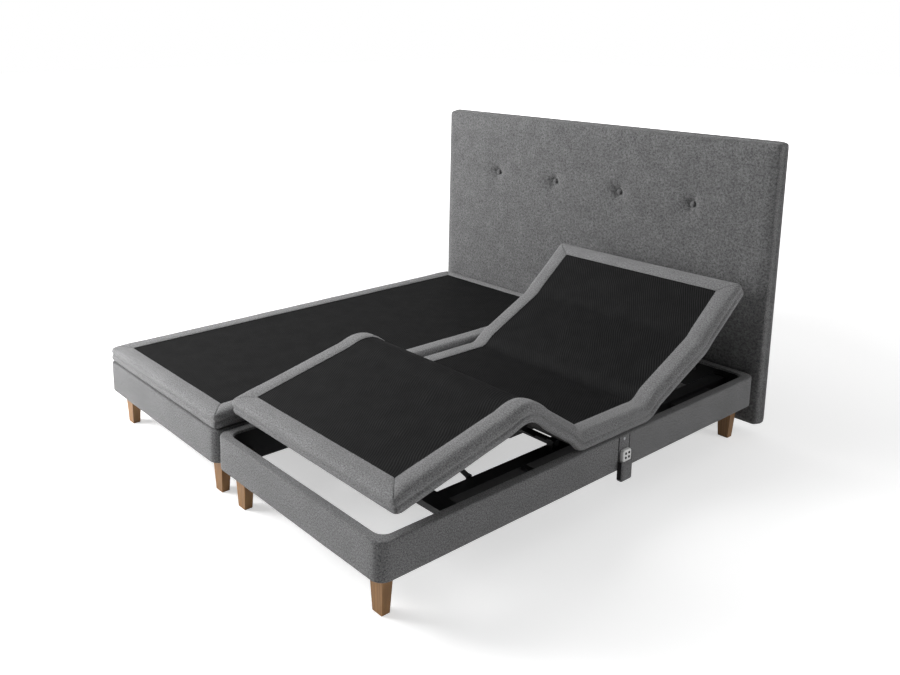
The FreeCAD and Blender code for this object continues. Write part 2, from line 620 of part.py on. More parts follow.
def calf_links(side, frame):
    """Two swinging links that carry the calf section on the eyes at their ends."""
    members = []
    for number, sign in enumerate(("-", "")):
        inner = f"({OUTER_ARM}+ArmWidth+2*SideGap)"
        low = f"-{inner}-LinkWidth" if sign else inner
        name = f"calf_link_{side}_{number}"
        bar = block(f"{name}_bar", (low, "-LinkLength", "-LinkHalf"),
                    ("LinkWidth", "LinkLength", "2*LinkHalf"))
        eye = rod(f"{name}_eye", "EyeOuter", "LinkWidth", (low, "-LinkLength", "0"))
        boss = rod(f"{name}_boss", "LinkBoss", "LinkWidth", (low, "0", "0"))
        opening = rod(f"{name}_opening", "EyeRadius", "LinkWidth+2*CutPast",
                      (f"{low}-CutPast", "-LinkLength", "0"))
        plate = drilled(f"{name}_plate", joined(f"{name}_bar_all", [bar, eye, boss]), [opening])
        reach = f"({CHASSIS_SPREAD}+ChassisWidth/2-{inner})"
        pin_low = f"-{inner}-{reach}" if sign else inner
        pivot = rod(f"{name}_pivot", "LinkPinRadius", reach, (pin_low, "0", "0"))
        members.append(joined(f"{name}_welded", [plate, pivot]))
    keep(gathered(f"calf_links_{side}_all", members), f"calf_links_{side}", frame)


def turned(y, z, degrees):
    """A frame in the YZ plane, turned about X."""
    return Placement(Vector(0, y, z), Rotation(Vector(1, 0, 0), degrees))


def make_base(side, centre, raised):
    """One base. raised is 1 where it lies in its raised pose and 0 where it lies flat."""
    where = Placement(Vector(centre, -(size("BedLength") + size("HeadboardThickness")) / 2, 0), Rotation())
    hinge_z = size("LegHeight") + size("RailHeight") + size("RestGap") - size("HingeDrop")
    back_y = size("BedLength") - size("HeadGap") - size("NeckLength") - size("BackLength")
    thigh_y = back_y - size("SeatLength")
    thigh_turn = size("RestThigh") * raised
    seat = where * turned(thigh_y, hinge_z, 0)
    back = where * turned(back_y, hinge_z, size("RestBack") * raised)
    neck = back * turned(size("BackLength"), 0, size("RestNeck") * raised)
    thigh = where * turned(thigh_y, hinge_z, -thigh_turn)
    calf = thigh * turned(-size("ThighLength"), 0, size("KneeRatio") * thigh_turn)
    link = where * turned(thigh_y - size("LinkBack"), hinge_z - size("LinkDrop"),
                          -(size("LinkLean") + size("LinkRatio") * thigh_turn))
    frame_boards(side, where)
    legs(side, where)
    chassis(side, where)
    drive(side, where)
    deck_and_pad("seat", side, seat, "0", "SeatLength", "MaxThigh/2", "MaxBack/2")
    deck_and_pad("back", side, back, "0", "BackLength", "MaxBack/2", "MaxNeck/2")
    deck_and_pad("neck", side, neck, "0", "NeckLength", "MaxNeck/2", "0", 1)
    deck_and_pad("thigh", side, thigh, "-ThighLength", "0", "0", "MaxThigh/2")
    deck_and_pad("calf", side, calf, f"-{CALF}", "0", "0", "0", -1)
    lifting_frame("back", side, back, "BackLength", -size("MaxBack") / 2)
    lifting_frame("thigh", side, thigh, "-ThighLength", size("MaxThigh") / 2)
    hinged_arms("neck", side, neck, "(NeckLength-ArmEnd)", ratchet=True)
    hinged_arms("calf", side, calf, f"-({CALF}-ArmEnd)", link_pin=True)
    calf_links(side, link)


# ------------------------------------------------------------------ what the two bases share

def headboard(where):
    """Padding on a board, four covered buttons in dimples, and the bolts through the head boards."""
    front = "BedLength"
    padding = slab("headboard_padding_body", ("-HeadboardHalf", front, "HeadboardBottom"),
                   ("HeadboardHalf", f"{front}+HeadboardThickness-HeadboardBoard"),
                   "HeadboardTop-HeadboardBottom")
    rounded(padding, "HeadboardCorner", lambda middle, way: middle.y < size("BedLength") + 1
            or abs(way.y) > 0.9 * way.Length)
    dimples, buttons = [], []
    for number in range(4):
        place_x = f"({number}-1.5)*ButtonPitch"
        dimples.append(rod(f"dimple_{number}", "ButtonRadius+ButtonGap", "ButtonSink+CutPast",
                           (place_x, f"{front}-CutPast", "ButtonHeight"), ALONG_Y))
        buttons.append(rod(f"button_{number}", "ButtonRadius", "ButtonThickness",
                           (place_x, f"{front}+ButtonSink-ButtonThickness", "ButtonHeight"), ALONG_Y))
    bolts, soft_holes, board_holes = [], [], []
    for base in (-1, 1):
        for across in (-1, 1):
            name = f"bolt_{base}_{across}"
            place_x = f"{base}*(BaseWidth+BaseGap)/2+{across}*BoltSpread"
            shank = rod(name, "BoltRadius", "RailThickness+BoltReach",
                        (place_x, f"{front}-RailThickness", "BoltHeight"), ALONG_Y)
            head = rod(f"{name}_head", "2*BoltRadius", "BoltRadius",
                       (place_x, f"{front}-RailThickness-BoltRadius", "BoltHeight"), ALONG_Y)
            bolts.append(joined(f"{name}_all", [shank, head]))
            for holes, kind in ((soft_holes, "soft"), (board_holes, "board")):
                holes.append(rod(f"{name}_{kind}_hole", "BoltRadius+BoltGap", "BoltReach+CutPast",
                                 (place_x, f"{front}-CutPast/2", "BoltHeight"), ALONG_Y))
    keep(drilled("headboard_padding_cut", padding, dimples + soft_holes), "headboard_padding", where)
    board = slab("headboard_board_body",
                 ("-HeadboardHalf+BoardInset", f"{front}+HeadboardThickness-HeadboardBoard",
                  "HeadboardBottom+BoardInset"),
                 ("HeadboardHalf-BoardInset", f"{front}+HeadboardThickness"),
                 "HeadboardTop-HeadboardBottom-2*BoardInset")
    keep(drilled("headboard_board_cut", board, board_holes), "headboard_board", where)
    keep(gathered("headboard_buttons_all", buttons), "headboard_buttons", where)
    keep(gathered("headboard_bolts_all", bolts), "headboard_bolts", where)


def control_boxes(where):
    """One box for each base, on the inside of its outer frame board."""
    members = []
    edge = "(BaseWidth+BaseGap/2-RailThickness)"
    for number, low in enumerate((f"-{edge}", f"{edge}-BoxDepth")):
        members.append(block(f"control_box_{number}",
                             (low, "BoxStart", "LegHeight+RailHeight-BoxDrop-BoxHeight"),
                             ("BoxDepth", "BoxLength", "BoxHeight")))
    keep(gathered("control_boxes_all", members), "control_boxes", where)


def base_clips(where):
    """Two steel clips that hold the inner boards of the two bases together from below."""
    members = []
    reach = "(BaseGap/2+RailThickness+ClampPlate+ClampGap)"
    low_z = "LegHeight-ClampPlate-ClampGap"
    for number, station in enumerate(("ClampInset", "BedLength-ClampInset-ClampWidth")):
        plate = block(f"clip_plate_{number}", (f"-{reach}", station, low_z),
                      (f"2*{reach}", "ClampWidth", "ClampPlate"))
        lips = [block(f"clip_lip_{number}_{low}", (low, station, low_z),
                      ("ClampPlate", "ClampWidth", "ClampLip+ClampPlate"))
                for low in (f"-{reach}", f"{reach}-ClampPlate")]
        members.append(joined(f"clip_{number}", [plate] + lips))
    keep(gathered("base_clips_all", members), "base_clips", where)


def handset_and_holster(where):
    """Cloth holster on the right frame, and the handset with its four keys."""
    face = "(BaseWidth+BaseGap/2)"
    depth = "(HandsetThickness+2*HandsetGap)"
    front = f"({face}+HolsterSkin+{depth})"
    strap = block("holster_strap", (face, "HolsterFoot", "HolsterBottom"),
                  ("HolsterSkin", "HolsterWidth", "HolsterTop-HolsterBottom"))
    cover = block("holster_front", (front, "HolsterFoot", "HolsterBottom"),
                  ("HolsterSkin", "HolsterWidth", "HolsterMouth-HolsterBottom"))
    wall = "(HolsterWidth-HandsetWidth)/2-HandsetGap"
    sides = [block(f"holster_side_{low}", (f"{face}+HolsterSkin", low, "HolsterBottom"),
                   (depth, wall, "HolsterMouth-HolsterBottom"))
             for low in ("HolsterFoot", f"HolsterFoot+HolsterWidth-({wall})")]
    floor = block("holster_floor", (f"{face}+HolsterSkin", "HolsterFoot", "HolsterBottom"),
                  (depth, "HolsterWidth", "HolsterSkin"))
    keep(joined("holster_all", [strap, cover, floor] + sides), "handset_holster", where)

    low_x = f"({face}+HolsterSkin+HandsetGap)"
    low_y = "(HolsterFoot+(HolsterWidth-HandsetWidth)/2)"
    low_z = "(HolsterBottom+HolsterSkin)"
    shell = slab("handset_body", (low_x, low_y, low_z),
                 (f"{low_x}+HandsetThickness", f"{low_y}+HandsetWidth"), "HandsetHeight")
    rounded(shell, "HandsetCorner", lambda middle, way: abs(way.x) > 0.9 * way.Length)
    rounded(shell, "HandsetEdge", lambda middle, way: is_upright(way))
    wells = []
    for row in range(2):
        for column in range(2):
            middle = (f"{low_x}+HandsetThickness", f"{low_y}+HandsetWidth/2+({column}-0.5)*KeyColumn",
                      f"{low_z}+HandsetHeight-KeyTop-{row}*KeyRow")
            depth = "(KeySink+KeyTravel+KeyFloor)"
            wells.append(rod(f"well_{row}_{column}", "KeyRadius+KeyGap", f"{depth}+CutPast",
                             (f"{middle[0]}-{depth}",) + middle[1:]))
            key = rod(f"key_{row}_{column}", "KeyRadius", "KeySink+KeyRise",
                      (f"{middle[0]}-KeySink",) + middle[1:])
            keep(gathered(f"key_{row}_{column}_all", [key]),
                 f"handset_key_{('upper', 'lower')[row]}_{('foot', 'head')[column]}", where)
    keep(drilled("handset_cut", shell, wells), "handset_shell", where)


def check_document():
    """Stops on any object that failed, and on any sub-part that isn't a valid shape."""
    document.recompute()
    for item in document.Objects:
        if "Invalid" in item.State or "Error" in item.State:
            raise RuntimeError(f"{item.Name} failed: {item.State}")
    for label, item in subparts.items():
        if item.Shape.isNull() or not item.Shape.isValid() or not item.Shape.Solids:
            raise RuntimeError(f"{label} has no valid shape")


centre = (size("BaseWidth") + size("BaseGap")) / 2
make_base("right", centre, 1)
make_base("left", -centre, 0)
bed = Placement(Vector(0, -(size("BedLength") + size("HeadboardThickness")) / 2, 0), Rotation())
headboard(bed)
base_clips(bed)
control_boxes(bed)
handset_and_holster(bed)
check_document()
os.makedirs("parts", exist_ok=True)
for label, item in subparts.items():
    item.Shape.exportStep(f"parts/{label}.step")
print(len(subparts), "sub-parts written")
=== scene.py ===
"""Adjustable bed base: two upholstered frames, bending platforms and a buttoned headboard.

Lengths are in metres. X runs across the bed, Y from the foot to the headboard and Z up.
"""
import json
import math

import bmesh
import bpy
import numpy as np
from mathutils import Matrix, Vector, noise


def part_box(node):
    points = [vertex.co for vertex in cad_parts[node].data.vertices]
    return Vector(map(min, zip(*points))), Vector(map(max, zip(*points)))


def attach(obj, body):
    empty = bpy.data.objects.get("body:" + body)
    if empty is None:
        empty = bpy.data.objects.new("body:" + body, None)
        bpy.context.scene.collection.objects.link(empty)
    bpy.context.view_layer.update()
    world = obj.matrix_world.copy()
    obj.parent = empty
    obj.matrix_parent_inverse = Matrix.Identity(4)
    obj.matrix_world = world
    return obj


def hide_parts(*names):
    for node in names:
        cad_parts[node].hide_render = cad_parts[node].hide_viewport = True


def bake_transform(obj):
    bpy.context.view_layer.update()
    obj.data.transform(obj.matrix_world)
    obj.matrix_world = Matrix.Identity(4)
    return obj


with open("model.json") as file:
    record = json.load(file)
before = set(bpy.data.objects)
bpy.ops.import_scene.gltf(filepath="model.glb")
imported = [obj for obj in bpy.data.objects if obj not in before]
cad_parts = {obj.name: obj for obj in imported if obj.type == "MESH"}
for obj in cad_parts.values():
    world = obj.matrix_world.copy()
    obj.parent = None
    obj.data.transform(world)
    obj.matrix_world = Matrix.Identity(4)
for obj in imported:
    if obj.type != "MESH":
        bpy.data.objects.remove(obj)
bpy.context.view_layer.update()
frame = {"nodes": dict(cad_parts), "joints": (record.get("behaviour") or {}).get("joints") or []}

SIDES = ("left", "right")
SECTIONS = ("calf", "thigh", "seat", "back", "neck")
RAILS = ("outer", "inner", "foot", "head")
JOINTS = {joint["name"]: joint for joint in frame["joints"]}

# The platform as it lies flat: a cloth border round a mesh panel, over a deck.
BORDER_SIDE = 0.080
BORDER_FOOT = 0.074
BORDER_HEAD = 0.070
PLATFORM_CORNER = 0.015
PLATFORM_EDGE = 0.009
PLATFORM_LOWER_EDGE = 0.006
PLATFORM_SLIM = 0.004
PLATFORM_VOXEL = 0.009
PLATFORM_PRESSURE = 2.4
PLATFORM_SWELL = 0.0050
UNDER_HOLD = 0.012
PANEL_HOLD = 0.004
PANEL_SINK = 0.004
PANEL_THICKNESS = 0.0025
PANEL_GAP = 0.0006
PANEL_LIFT = 0.0004
DECK_MARGIN = 0.016
DECK_POCKET = 0.0155
CREASE_HEIGHT = 0.031
CREASE_WIDTH = 0.0048
CREASE_DEPTH = 0.0062
CREASE_WANDER = 0.003
CREASE_REACH = 0.02
BORDER_WAVE = 0.0008
SEAM_DEPTH = 0.0022
SEAM_PINCH = 0.0034
SEAM_PINCH_HEIGHT = 0.035
SEAM_REACH = 0.12
SEAM_BAND = 0.03
BLEND_RISE = 0.05

# The upholstered frame.
FRAME_CORNER = 0.042
FRAME_INNER_CORNER = 0.036
CORNER_STEPS = 9
FRAME_BOARD = 0.035
FRAME_EDGE = 0.006
FRAME_LOWER_EDGE = 0.004
COVER_PROUD = 0.0012
COVER_WAVE = 0.0007
COVER_RIPPLE = 0.0002
LINING_GAP = 0.0006
LINING_DROP = 0.009
LINING_RISE = 0.003
LINING_THICKNESS = 0.0012
BLOCK_GAP = 0.0016
BLOCK_SIZE = 0.074
BLOCK_HEIGHT = 0.060
BLOCK_CHAMFER = 0.040

# The headboard.
HEADBOARD_SLIM = 0.006
HEADBOARD_CORNER = 0.018
HEADBOARD_EDGE = 0.014
HEADBOARD_BACK_EDGE = 0.006
HEADBOARD_BACK_GAP = 0.001
HEADBOARD_BACK_HOLD = 0.030
HEADBOARD_VOXEL = 0.010
HEADBOARD_PRESSURE = 1.6
HEADBOARD_SWELL = 0.005
HEADBOARD_WAVE = 0.0016
BUTTON_RADIUS = 0.0125
BUTTON_THICKNESS = 0.010
BUTTON_DEPTH = 0.024
BUTTON_SEAT = BUTTON_DEPTH * 0.55
DIMPLE_REACH = 0.10
DIMPLE_FOLD = 0.0030
BACK_MARGIN = 0.038
BACK_CLOTH_NEAR = 0.0008
BACK_CLOTH_FAR = 0.0020
STAPLE_SPACING = 0.085
STAPLE_INSET = 0.007
STAPLE_END = 0.02

# The holster.
STRAP_THICKNESS = 0.002
POCKET_DROP = 0.041
POCKET_CORNER = 0.008
STITCH_INSET = 0.009
STITCH_PITCH = 0.0055
HEM_PITCH = 0.0052
STUD_DROP = 0.012
STUD_RADIUS = 0.0052
STUD_HEIGHT = 0.0008


# ---------------------------------------------------------------- shaping

def clear_selection():
    """Nothing is selected, in object mode."""
    if bpy.context.mode != "OBJECT":
        bpy.ops.object.mode_set(mode="OBJECT")
    bpy.ops.object.select_all(action="DESELECT")


def work_on(piece):
    """Only this piece is selected, and it is the active one."""
    clear_selection()
    piece.select_set(True)
    bpy.context.view_layer.objects.active = piece


def settle(piece):
    """The piece's place, turn and size go into its mesh."""
    work_on(piece)
    bpy.ops.object.transform_apply(location=True, rotation=True, scale=True)
    return piece


def named(piece, name):
    """Gives the piece and its mesh one name."""
    piece.name = name
    piece.data.name = name
    return piece


def block(name, low, high):
    """A box between two corners, ready to be shaped."""
    clear_selection()
    low, high = Vector(low), Vector(high)
    bpy.ops.mesh.primitive_cube_add(size=1, location=(low + high) / 2)
    piece = named(bpy.context.object, name)
    piece.scale = high - low
    return settle(piece)


def disc(name, centre, radius, depth, axis, sides=32):
    """A short round bar whose axis runs along X, Y or Z."""
    clear_selection()
    turn = {"X": (0, math.pi / 2, 0), "Y": (math.pi / 2, 0, 0), "Z": (0, 0, 0)}[axis]
    bpy.ops.mesh.primitive_cylinder_add(vertices=sides, radius=radius, depth=depth,
                                        location=centre, rotation=turn)
    return settle(named(bpy.context.object, name))


def pick(piece, kind, test):
    """Selects the vertices, edges or faces that pass a test, in edit mode. Returns how many."""
    work_on(piece)
    bpy.ops.object.mode_set(mode="EDIT")
    bpy.ops.mesh.select_mode(type=kind)
    bpy.ops.mesh.select_all(action="DESELECT")
    shape = bmesh.from_edit_mesh(piece.data)
    parts = {"VERT": shape.verts, "EDGE": shape.edges, "FACE": shape.faces}[kind]
    found = 0
    for part in parts:
        if test(part):
            part.select_set(True)
            found += 1
    bmesh.update_edit_mesh(piece.data)
    return found


def edit_all(piece):
    """Edit mode, with the whole piece selected."""
    work_on(piece)
    bpy.ops.object.mode_set(mode="EDIT")
    bpy.ops.mesh.select_all(action="SELECT")


def done():
    """Back to object mode."""
    bpy.ops.object.mode_set(mode="OBJECT")


def middle(edge):
    """The middle point of an edge."""
    return (edge.verts[0].co + edge.verts[1].co) / 2


def runs_along(edge, axis, least=0.0):
    """Whether an edge lies along one axis and is long enough."""
    run = edge.verts[1].co - edge.verts[0].co
    return run.length > least and abs(run[axis]) > 0.999 * run.length


def bevel(piece, test, width, steps):
    """Rounds the edges that pass a test."""
    pick(piece, "EDGE", test)
    bpy.ops.mesh.bevel(offset=width, segments=steps, affect="EDGES", clamp_overlap=True)
    done()


def cut(piece, place, direction, within=None, clear_outer=False, clear_inner=False, fill=False):
    """Cuts the faces that pass a test, or all of them, with a plane. The piece stays in edit mode."""
    pick(piece, "FACE", within or (lambda face: True))
    bpy.ops.mesh.bisect(plane_co=place, plane_no=direction, use_fill=fill,
                        clear_outer=clear_outer, clear_inner=clear_inner)


def divide(piece, rows):
    """Cuts long edges into equal parts. Each row is an axis, the least length and the number of cuts."""
    for axis, least, cuts in rows:
        pick(piece, "EDGE", lambda edge: runs_along(edge, axis, least))
        bpy.ops.mesh.subdivide(number_cuts=cuts)
        done()


def finish_with(piece, kind, **values):
    """Adds one modifier and applies it."""
    work_on(piece)
    modifier = piece.modifiers.new(kind.lower(), kind)
    for name, value in values.items():
        setattr(modifier, name, value)
    bpy.ops.object.modifier_apply(modifier=modifier.name)
    return piece


def smooth(piece, angle=40):
    """Smooth shading with sharp edges past an angle, in degrees."""
    work_on(piece)
    bpy.ops.object.shade_smooth_by_angle(angle=math.radians(angle))
    return piece


def unwrap(piece):
    """A flat map in metres, laid from the six sides."""
    edit_all(piece)
    bpy.ops.uv.cube_project(cube_size=1.0, correct_aspect=False, scale_to_bounds=False)
    done()
    return piece


def outward(piece, doubles=0.00005):
    """Merges points that coincide and turns every face outwards."""
    edit_all(piece)
    bpy.ops.mesh.remove_doubles(threshold=doubles)
    bpy.ops.mesh.normals_make_consistent(inside=False)
    done()
    return piece


def copied(piece, name):
    """A copy with its own mesh."""
    copy = piece.copy()
    copy.data = piece.data.copy()
    bpy.context.scene.collection.objects.link(copy)
    return named(copy, name)


def merged(name, pieces):
    """Several pieces as one."""
    clear_selection()
    for piece in pieces:
        piece.select_set(True)
    bpy.context.view_layer.objects.active = pieces[0]
    bpy.ops.object.join()
    return named(pieces[0], name)


def mount(piece, finish):
    """Gives a piece its finish and fixes it to the bed."""
    dress(piece, finish)
    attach(piece, "bed")


def places(piece):
    """The mesh's points as rows of numbers."""
    rows = np.empty(len(piece.data.vertices) * 3)
    piece.data.vertices.foreach_get("co", rows)
    return rows.reshape(-1, 3)


def directions(piece):
    """The points' normals as rows of numbers."""
    rows = np.empty(len(piece.data.vertices) * 3)
    piece.data.vertices.foreach_get("normal", rows)
    return rows.reshape(-1, 3)


def put(piece, rows):
    """Moves the mesh's points to these rows."""
    piece.data.vertices.foreach_set("co", rows.ravel())
    piece.data.update()


def placed(model, name, place, order=(0, 1, 2)):
    """A copy of a model at a place, with its axes in another order."""
    copy = copied(model, name)
    put(copy, places(copy)[:, list(order)] + np.array(place))
    return copy


def unevenness(spots):
    """A smooth random height between about -1 and 1 at each spot."""
    return np.array([noise.noise(Vector(spot)) for spot in spots])


def eased(share):
    """A smooth rise from 0 to 1."""
    share = np.clip(share, 0, 1)
    return share * share * (3 - 2 * share)


def joined_box(names):
    """The box round several CAD nodes."""
    boxes = [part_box(name) for name in names]
    low = Vector(min(box[0][axis] for box in boxes) for axis in range(3))
    high = Vector(max(box[1][axis] for box in boxes) for axis in range(3))
    return low, high


def puff(piece, held, pressure, cap):
    """Fills a soft piece with air while some of it is held, and no point goes further than the cap."""
    work_on(piece)
    rows = places(piece)
    group = piece.vertex_groups.new(name="held")
    group.add([int(number) for number in np.nonzero(held(rows))[0]], 1.0, "REPLACE")
    cloth = piece.modifiers.new("cloth", "CLOTH")
    cloth.settings.quality = 5
    cloth.settings.mass = 0.4
    cloth.settings.tension_stiffness = 12
    cloth.settings.compression_stiffness = 12
    cloth.settings.shear_stiffness = 6
    cloth.settings.bending_stiffness = 1.5
    cloth.settings.use_pressure = True
    cloth.settings.uniform_pressure_force = pressure
    cloth.settings.vertex_group_mass = "held"
    cloth.settings.effector_weights.gravity = 0
    for step in range(1, 21):
        bpy.context.scene.frame_set(step)
    bpy.ops.object.modifier_apply(modifier="cloth")
    bpy.context.scene.frame_set(1)
    piece.vertex_groups.clear()
    moved = places(piece) - rows
    reach = np.linalg.norm(moved, axis=1, keepdims=True)
    put(piece, rows + moved * np.minimum(1, cap / np.maximum(reach, 1e-9)))
    return piece


def remeshed(piece, voxel):
    """Even small faces all over, softened a little."""
    finish_with(piece, "REMESH", mode="VOXEL", voxel_size=voxel * 1, adaptivity=0)
    finish_with(piece, "SMOOTH", factor=0.5, iterations=2)
    return piece


# ---------------------------------------------------------------- platform

def pads_box(side):
    """The box round the five pads of one base."""
    return joined_box([f"{section}_pad_{side}" for section in SECTIONS])


flat_low, flat_high = pads_box("left")
ACROSS = pads_box("right")[0].x - flat_low.x


def hinge(side, name):
    """A hinge's place as the base lies."""
    return Vector(JOINTS[f"{side}_{name}"]["pos_m"])


def lying_turn(side, name):
    """How far a joint of this base is turned as it lies, from flat."""
    return math.radians(-JOINTS[f"{side}_{name}"]["range_deg"][0])


class Bend:
    """One stretch of platform cover, which crosses one hinge and stands for some of the pads."""

    def __init__(self, label, joint, foot_body, head_body, before, after, pads):
        self.label = label
        self.bodies = (foot_body, head_body)
        self.place = hinge("left", joint)
        self.start = self.place.y - before
        self.end = self.place.y + after
        self.pads = pads


BENDS = (
    Bend("knee", "knee_bend", "{side}_calf", "{side}_thigh", 0.085, 0.085, ("calf",)),
    Bend("lap", "thigh_tilt", "{side}_thigh", "bed", 0.100, 0.035, ("thigh",)),
    Bend("waist", "back_tilt", "bed", "{side}_back", 0.035, 0.110, ("seat", "back")),
    Bend("neck", "neck_tilt", "{side}_back", "{side}_neck", 0.035, 0.075, ("neck",)),
)


def turned(rows, place, angle):
    """Points turned about an axis across the bed; the angle is one number or one for each point."""
    sine, cosine = np.sin(angle), np.cos(angle)
    along, up = rows[:, 1] - place.y, rows[:, 2] - place.z
    out = rows.copy()
    out[:, 1] = place.y + along * cosine - up * sine
    out[:, 2] = place.z + along * sine + up * cosine
    return out


def laid(rows, side, bend):
    """Where flat points lie once the base's sections are turned as they lie."""
    if side == "left":
        return rows
    share = eased((rows[:, 1] - bend.start) / (bend.end - bend.start))
    back, thigh = lying_turn(side, "back_tilt"), lying_turn(side, "thigh_tilt")
    back_hinge, thigh_hinge = hinge("left", "back_tilt"), hinge("left", "thigh_tilt")
    if bend.label == "knee":
        knee = lying_turn(side, "knee_bend")
        return turned(turned(rows, bend.place, knee * (1 - share)), thigh_hinge, -thigh)
    if bend.label == "lap":
        return turned(rows, thigh_hinge, -thigh * (1 - share))
    if bend.label == "waist":
        return turned(rows, back_hinge, back * share)
    neck = lying_turn(side, "neck_tilt")
    return turned(turned(rows, bend.place, neck * share), back_hinge, back)


def in_panel(place):
    """Whether a place on the flat platform lies inside the mesh panel's outline."""
    return (flat_low.x + BORDER_SIDE < place.x < flat_high.x - BORDER_SIDE
            and flat_low.y + BORDER_FOOT < place.y < flat_high.y - BORDER_HEAD)


def platform_body():
    """The flat platform of the left base: wadding and cloth over a board, with a fold along its sides."""
    low = flat_low + Vector((PLATFORM_SLIM, PLATFORM_SLIM, 0))
    high = flat_high - Vector((PLATFORM_SLIM, PLATFORM_SLIM, PLATFORM_SLIM))
    body = block("platform", low, high)
    bevel(body, lambda edge: runs_along(edge, 2), PLATFORM_CORNER, 5)
    bevel(body, lambda edge: middle(edge).z > high.z - 0.001, PLATFORM_EDGE, 5)
    bevel(body, lambda edge: middle(edge).z < low.z + 0.001, PLATFORM_LOWER_EDGE, 2)
    remeshed(body, PLATFORM_VOXEL)

    def held(rows):
        under = rows[:, 2] < low.z + UNDER_HOLD
        panel = ((rows[:, 0] > flat_low.x + BORDER_SIDE - PANEL_HOLD)
                 & (rows[:, 0] < flat_high.x - BORDER_SIDE + PANEL_HOLD)
                 & (rows[:, 1] > flat_low.y + BORDER_FOOT - PANEL_HOLD)
                 & (rows[:, 1] < flat_high.y - BORDER_HEAD + PANEL_HOLD))
        return under | panel

    puff(body, held, PLATFORM_PRESSURE, PLATFORM_SWELL)
    finish_with(body, "SUBSURF", levels=1, render_levels=1)
    crease(body)
    return body


def crease(body):
    """A soft fold along the side bands, where the cloth turns over the board, and small waves."""
    rows, normals = places(body), directions(body)
    edge_x = np.minimum(rows[:, 0] - flat_low.x, flat_high.x - rows[:, 0])
    edge_y = rows[:, 1] - flat_low.y
    side = eased(1 - np.minimum(edge_x, edge_y) / CREASE_REACH)
    depth = 0.5 + 0.5 * unevenness(rows * 5)
    line = CREASE_HEIGHT + CREASE_WANDER * unevenness(rows * (3, 3, 0))
    height = rows[:, 2] - flat_low.z
    groove = np.exp(-((height - line) / CREASE_WIDTH) ** 2) * side * (0.5 + depth)
    waves = unevenness(rows * (9, 9, 16))
    put(body, rows - normals * (CREASE_DEPTH * groove - BORDER_WAVE * waves)[:, None])


def stitch_seams(body):
    """Mitred seams from the panel's corners to the platform's corners, and down each corner."""
    for side_x in (-1, 1):
        for end_y in (-1, 1):
            outer = Vector((flat_high.x if side_x > 0 else flat_low.x,
                            flat_high.y if end_y > 0 else flat_low.y, 0))
            border = BORDER_HEAD if end_y > 0 else BORDER_FOOT
            inner = outer - Vector((side_x * BORDER_SIDE, end_y * border, 0))
            run = (outer - inner).normalized()
            across = Vector((-run.y, run.x, 0))

            def by_corner(place):
                return abs(place.x - outer.x) < SEAM_REACH and abs(place.y - outer.y) < SEAM_REACH

            def by_seam(face):
                place = face.calc_center_median()
                return by_corner(place) and abs((place - outer).dot(across)) < SEAM_BAND

            cut(body, inner, across, within=by_seam)
            shape = bmesh.from_edit_mesh(body.data)
            for point in shape.verts:
                away = point.co - inner
                on_seam = abs(away.dot(across)) < 0.00005 and away.dot(run) > -0.002
                if on_seam and by_corner(point.co):
                    pinch = 1 - min(1, (point.co.z - flat_low.z) / SEAM_PINCH_HEIGHT)
                    point.co -= point.normal * (SEAM_DEPTH + SEAM_PINCH * pinch)
            bmesh.update_edit_mesh(body.data)
            done()


def along(axis, value):
    """A vector with one value on one axis."""
    return tuple(value if number == axis else 0 for number in range(3))


def recess(piece, low, high, axis, away, depth):
    """Sinks the part of one side that lies in a rectangle. Axis is the side's normal, away its sign."""
    flat_axes = [number for number in range(3) if number != axis]
    for number in flat_axes:
        for edge in (low[number], high[number]):
            cut(piece, along(number, edge), along(number, 1))
            done()
    level = (low[axis] + high[axis]) / 2

    def on_side(face):
        place = face.calc_center_median()
        inside = all(low[number] < place[number] < high[number] for number in flat_axes)
        return inside and face.normal[axis] * away > 0.6 and (place[axis] - level) * away > 0

    pick(piece, "FACE", on_side)
    bpy.ops.mesh.extrude_region_move(TRANSFORM_OT_translate={"value": along(axis, -away * depth)})
    done()
    return piece


def platform_parts():
    """The flat platform as a border of cloth with a deck pocket below, and a thin mesh panel."""
    body = platform_body()
    stitch_seams(body)
    panel_low = Vector((flat_low.x + BORDER_SIDE, flat_low.y + BORDER_FOOT, flat_low.z))
    panel_high = Vector((flat_high.x - BORDER_SIDE, flat_high.y - BORDER_HEAD, flat_high.z))
    recess(body, panel_low, panel_high, 2, 1, PANEL_SINK)

    def outside(face):
        place = face.calc_center_median()
        return not (face.normal.z > 0.9 and in_panel(place) and place.z > flat_high.z - 0.03)

    panel = copied(body, "panel")
    pick(panel, "FACE", outside)
    bpy.ops.mesh.delete(type="FACE")
    done()
    rows = places(panel)
    centre = (panel_low + panel_high) / 2
    for axis in (0, 1):
        half = (panel_high[axis] - panel_low[axis]) / 2
        rows[:, axis] = centre[axis] + (rows[:, axis] - centre[axis]) * (1 - PANEL_GAP / half)
    rows[:, 2] += PANEL_THICKNESS + PANEL_LIFT
    put(panel, rows)
    finish_with(panel, "SOLIDIFY", thickness=PANEL_THICKNESS, offset=-1)
    margin = Vector((DECK_MARGIN, DECK_MARGIN, 0))
    recess(body, flat_low + margin, flat_high - margin, 2, -1, DECK_POCKET)
    return unwrap(body), unwrap(panel)


def stretch_of(piece, name, first, last):
    """The part of a flat piece between two places along the bed, closed at its cut ends."""
    part = copied(piece, name)
    if last < flat_high.y:
        cut(part, (0, last, 0), (0, 1, 0), clear_outer=True, fill=True)
        done()
    if first > flat_low.y:
        cut(part, (0, first, 0), (0, 1, 0), clear_inner=True, fill=True)
        done()
    return part


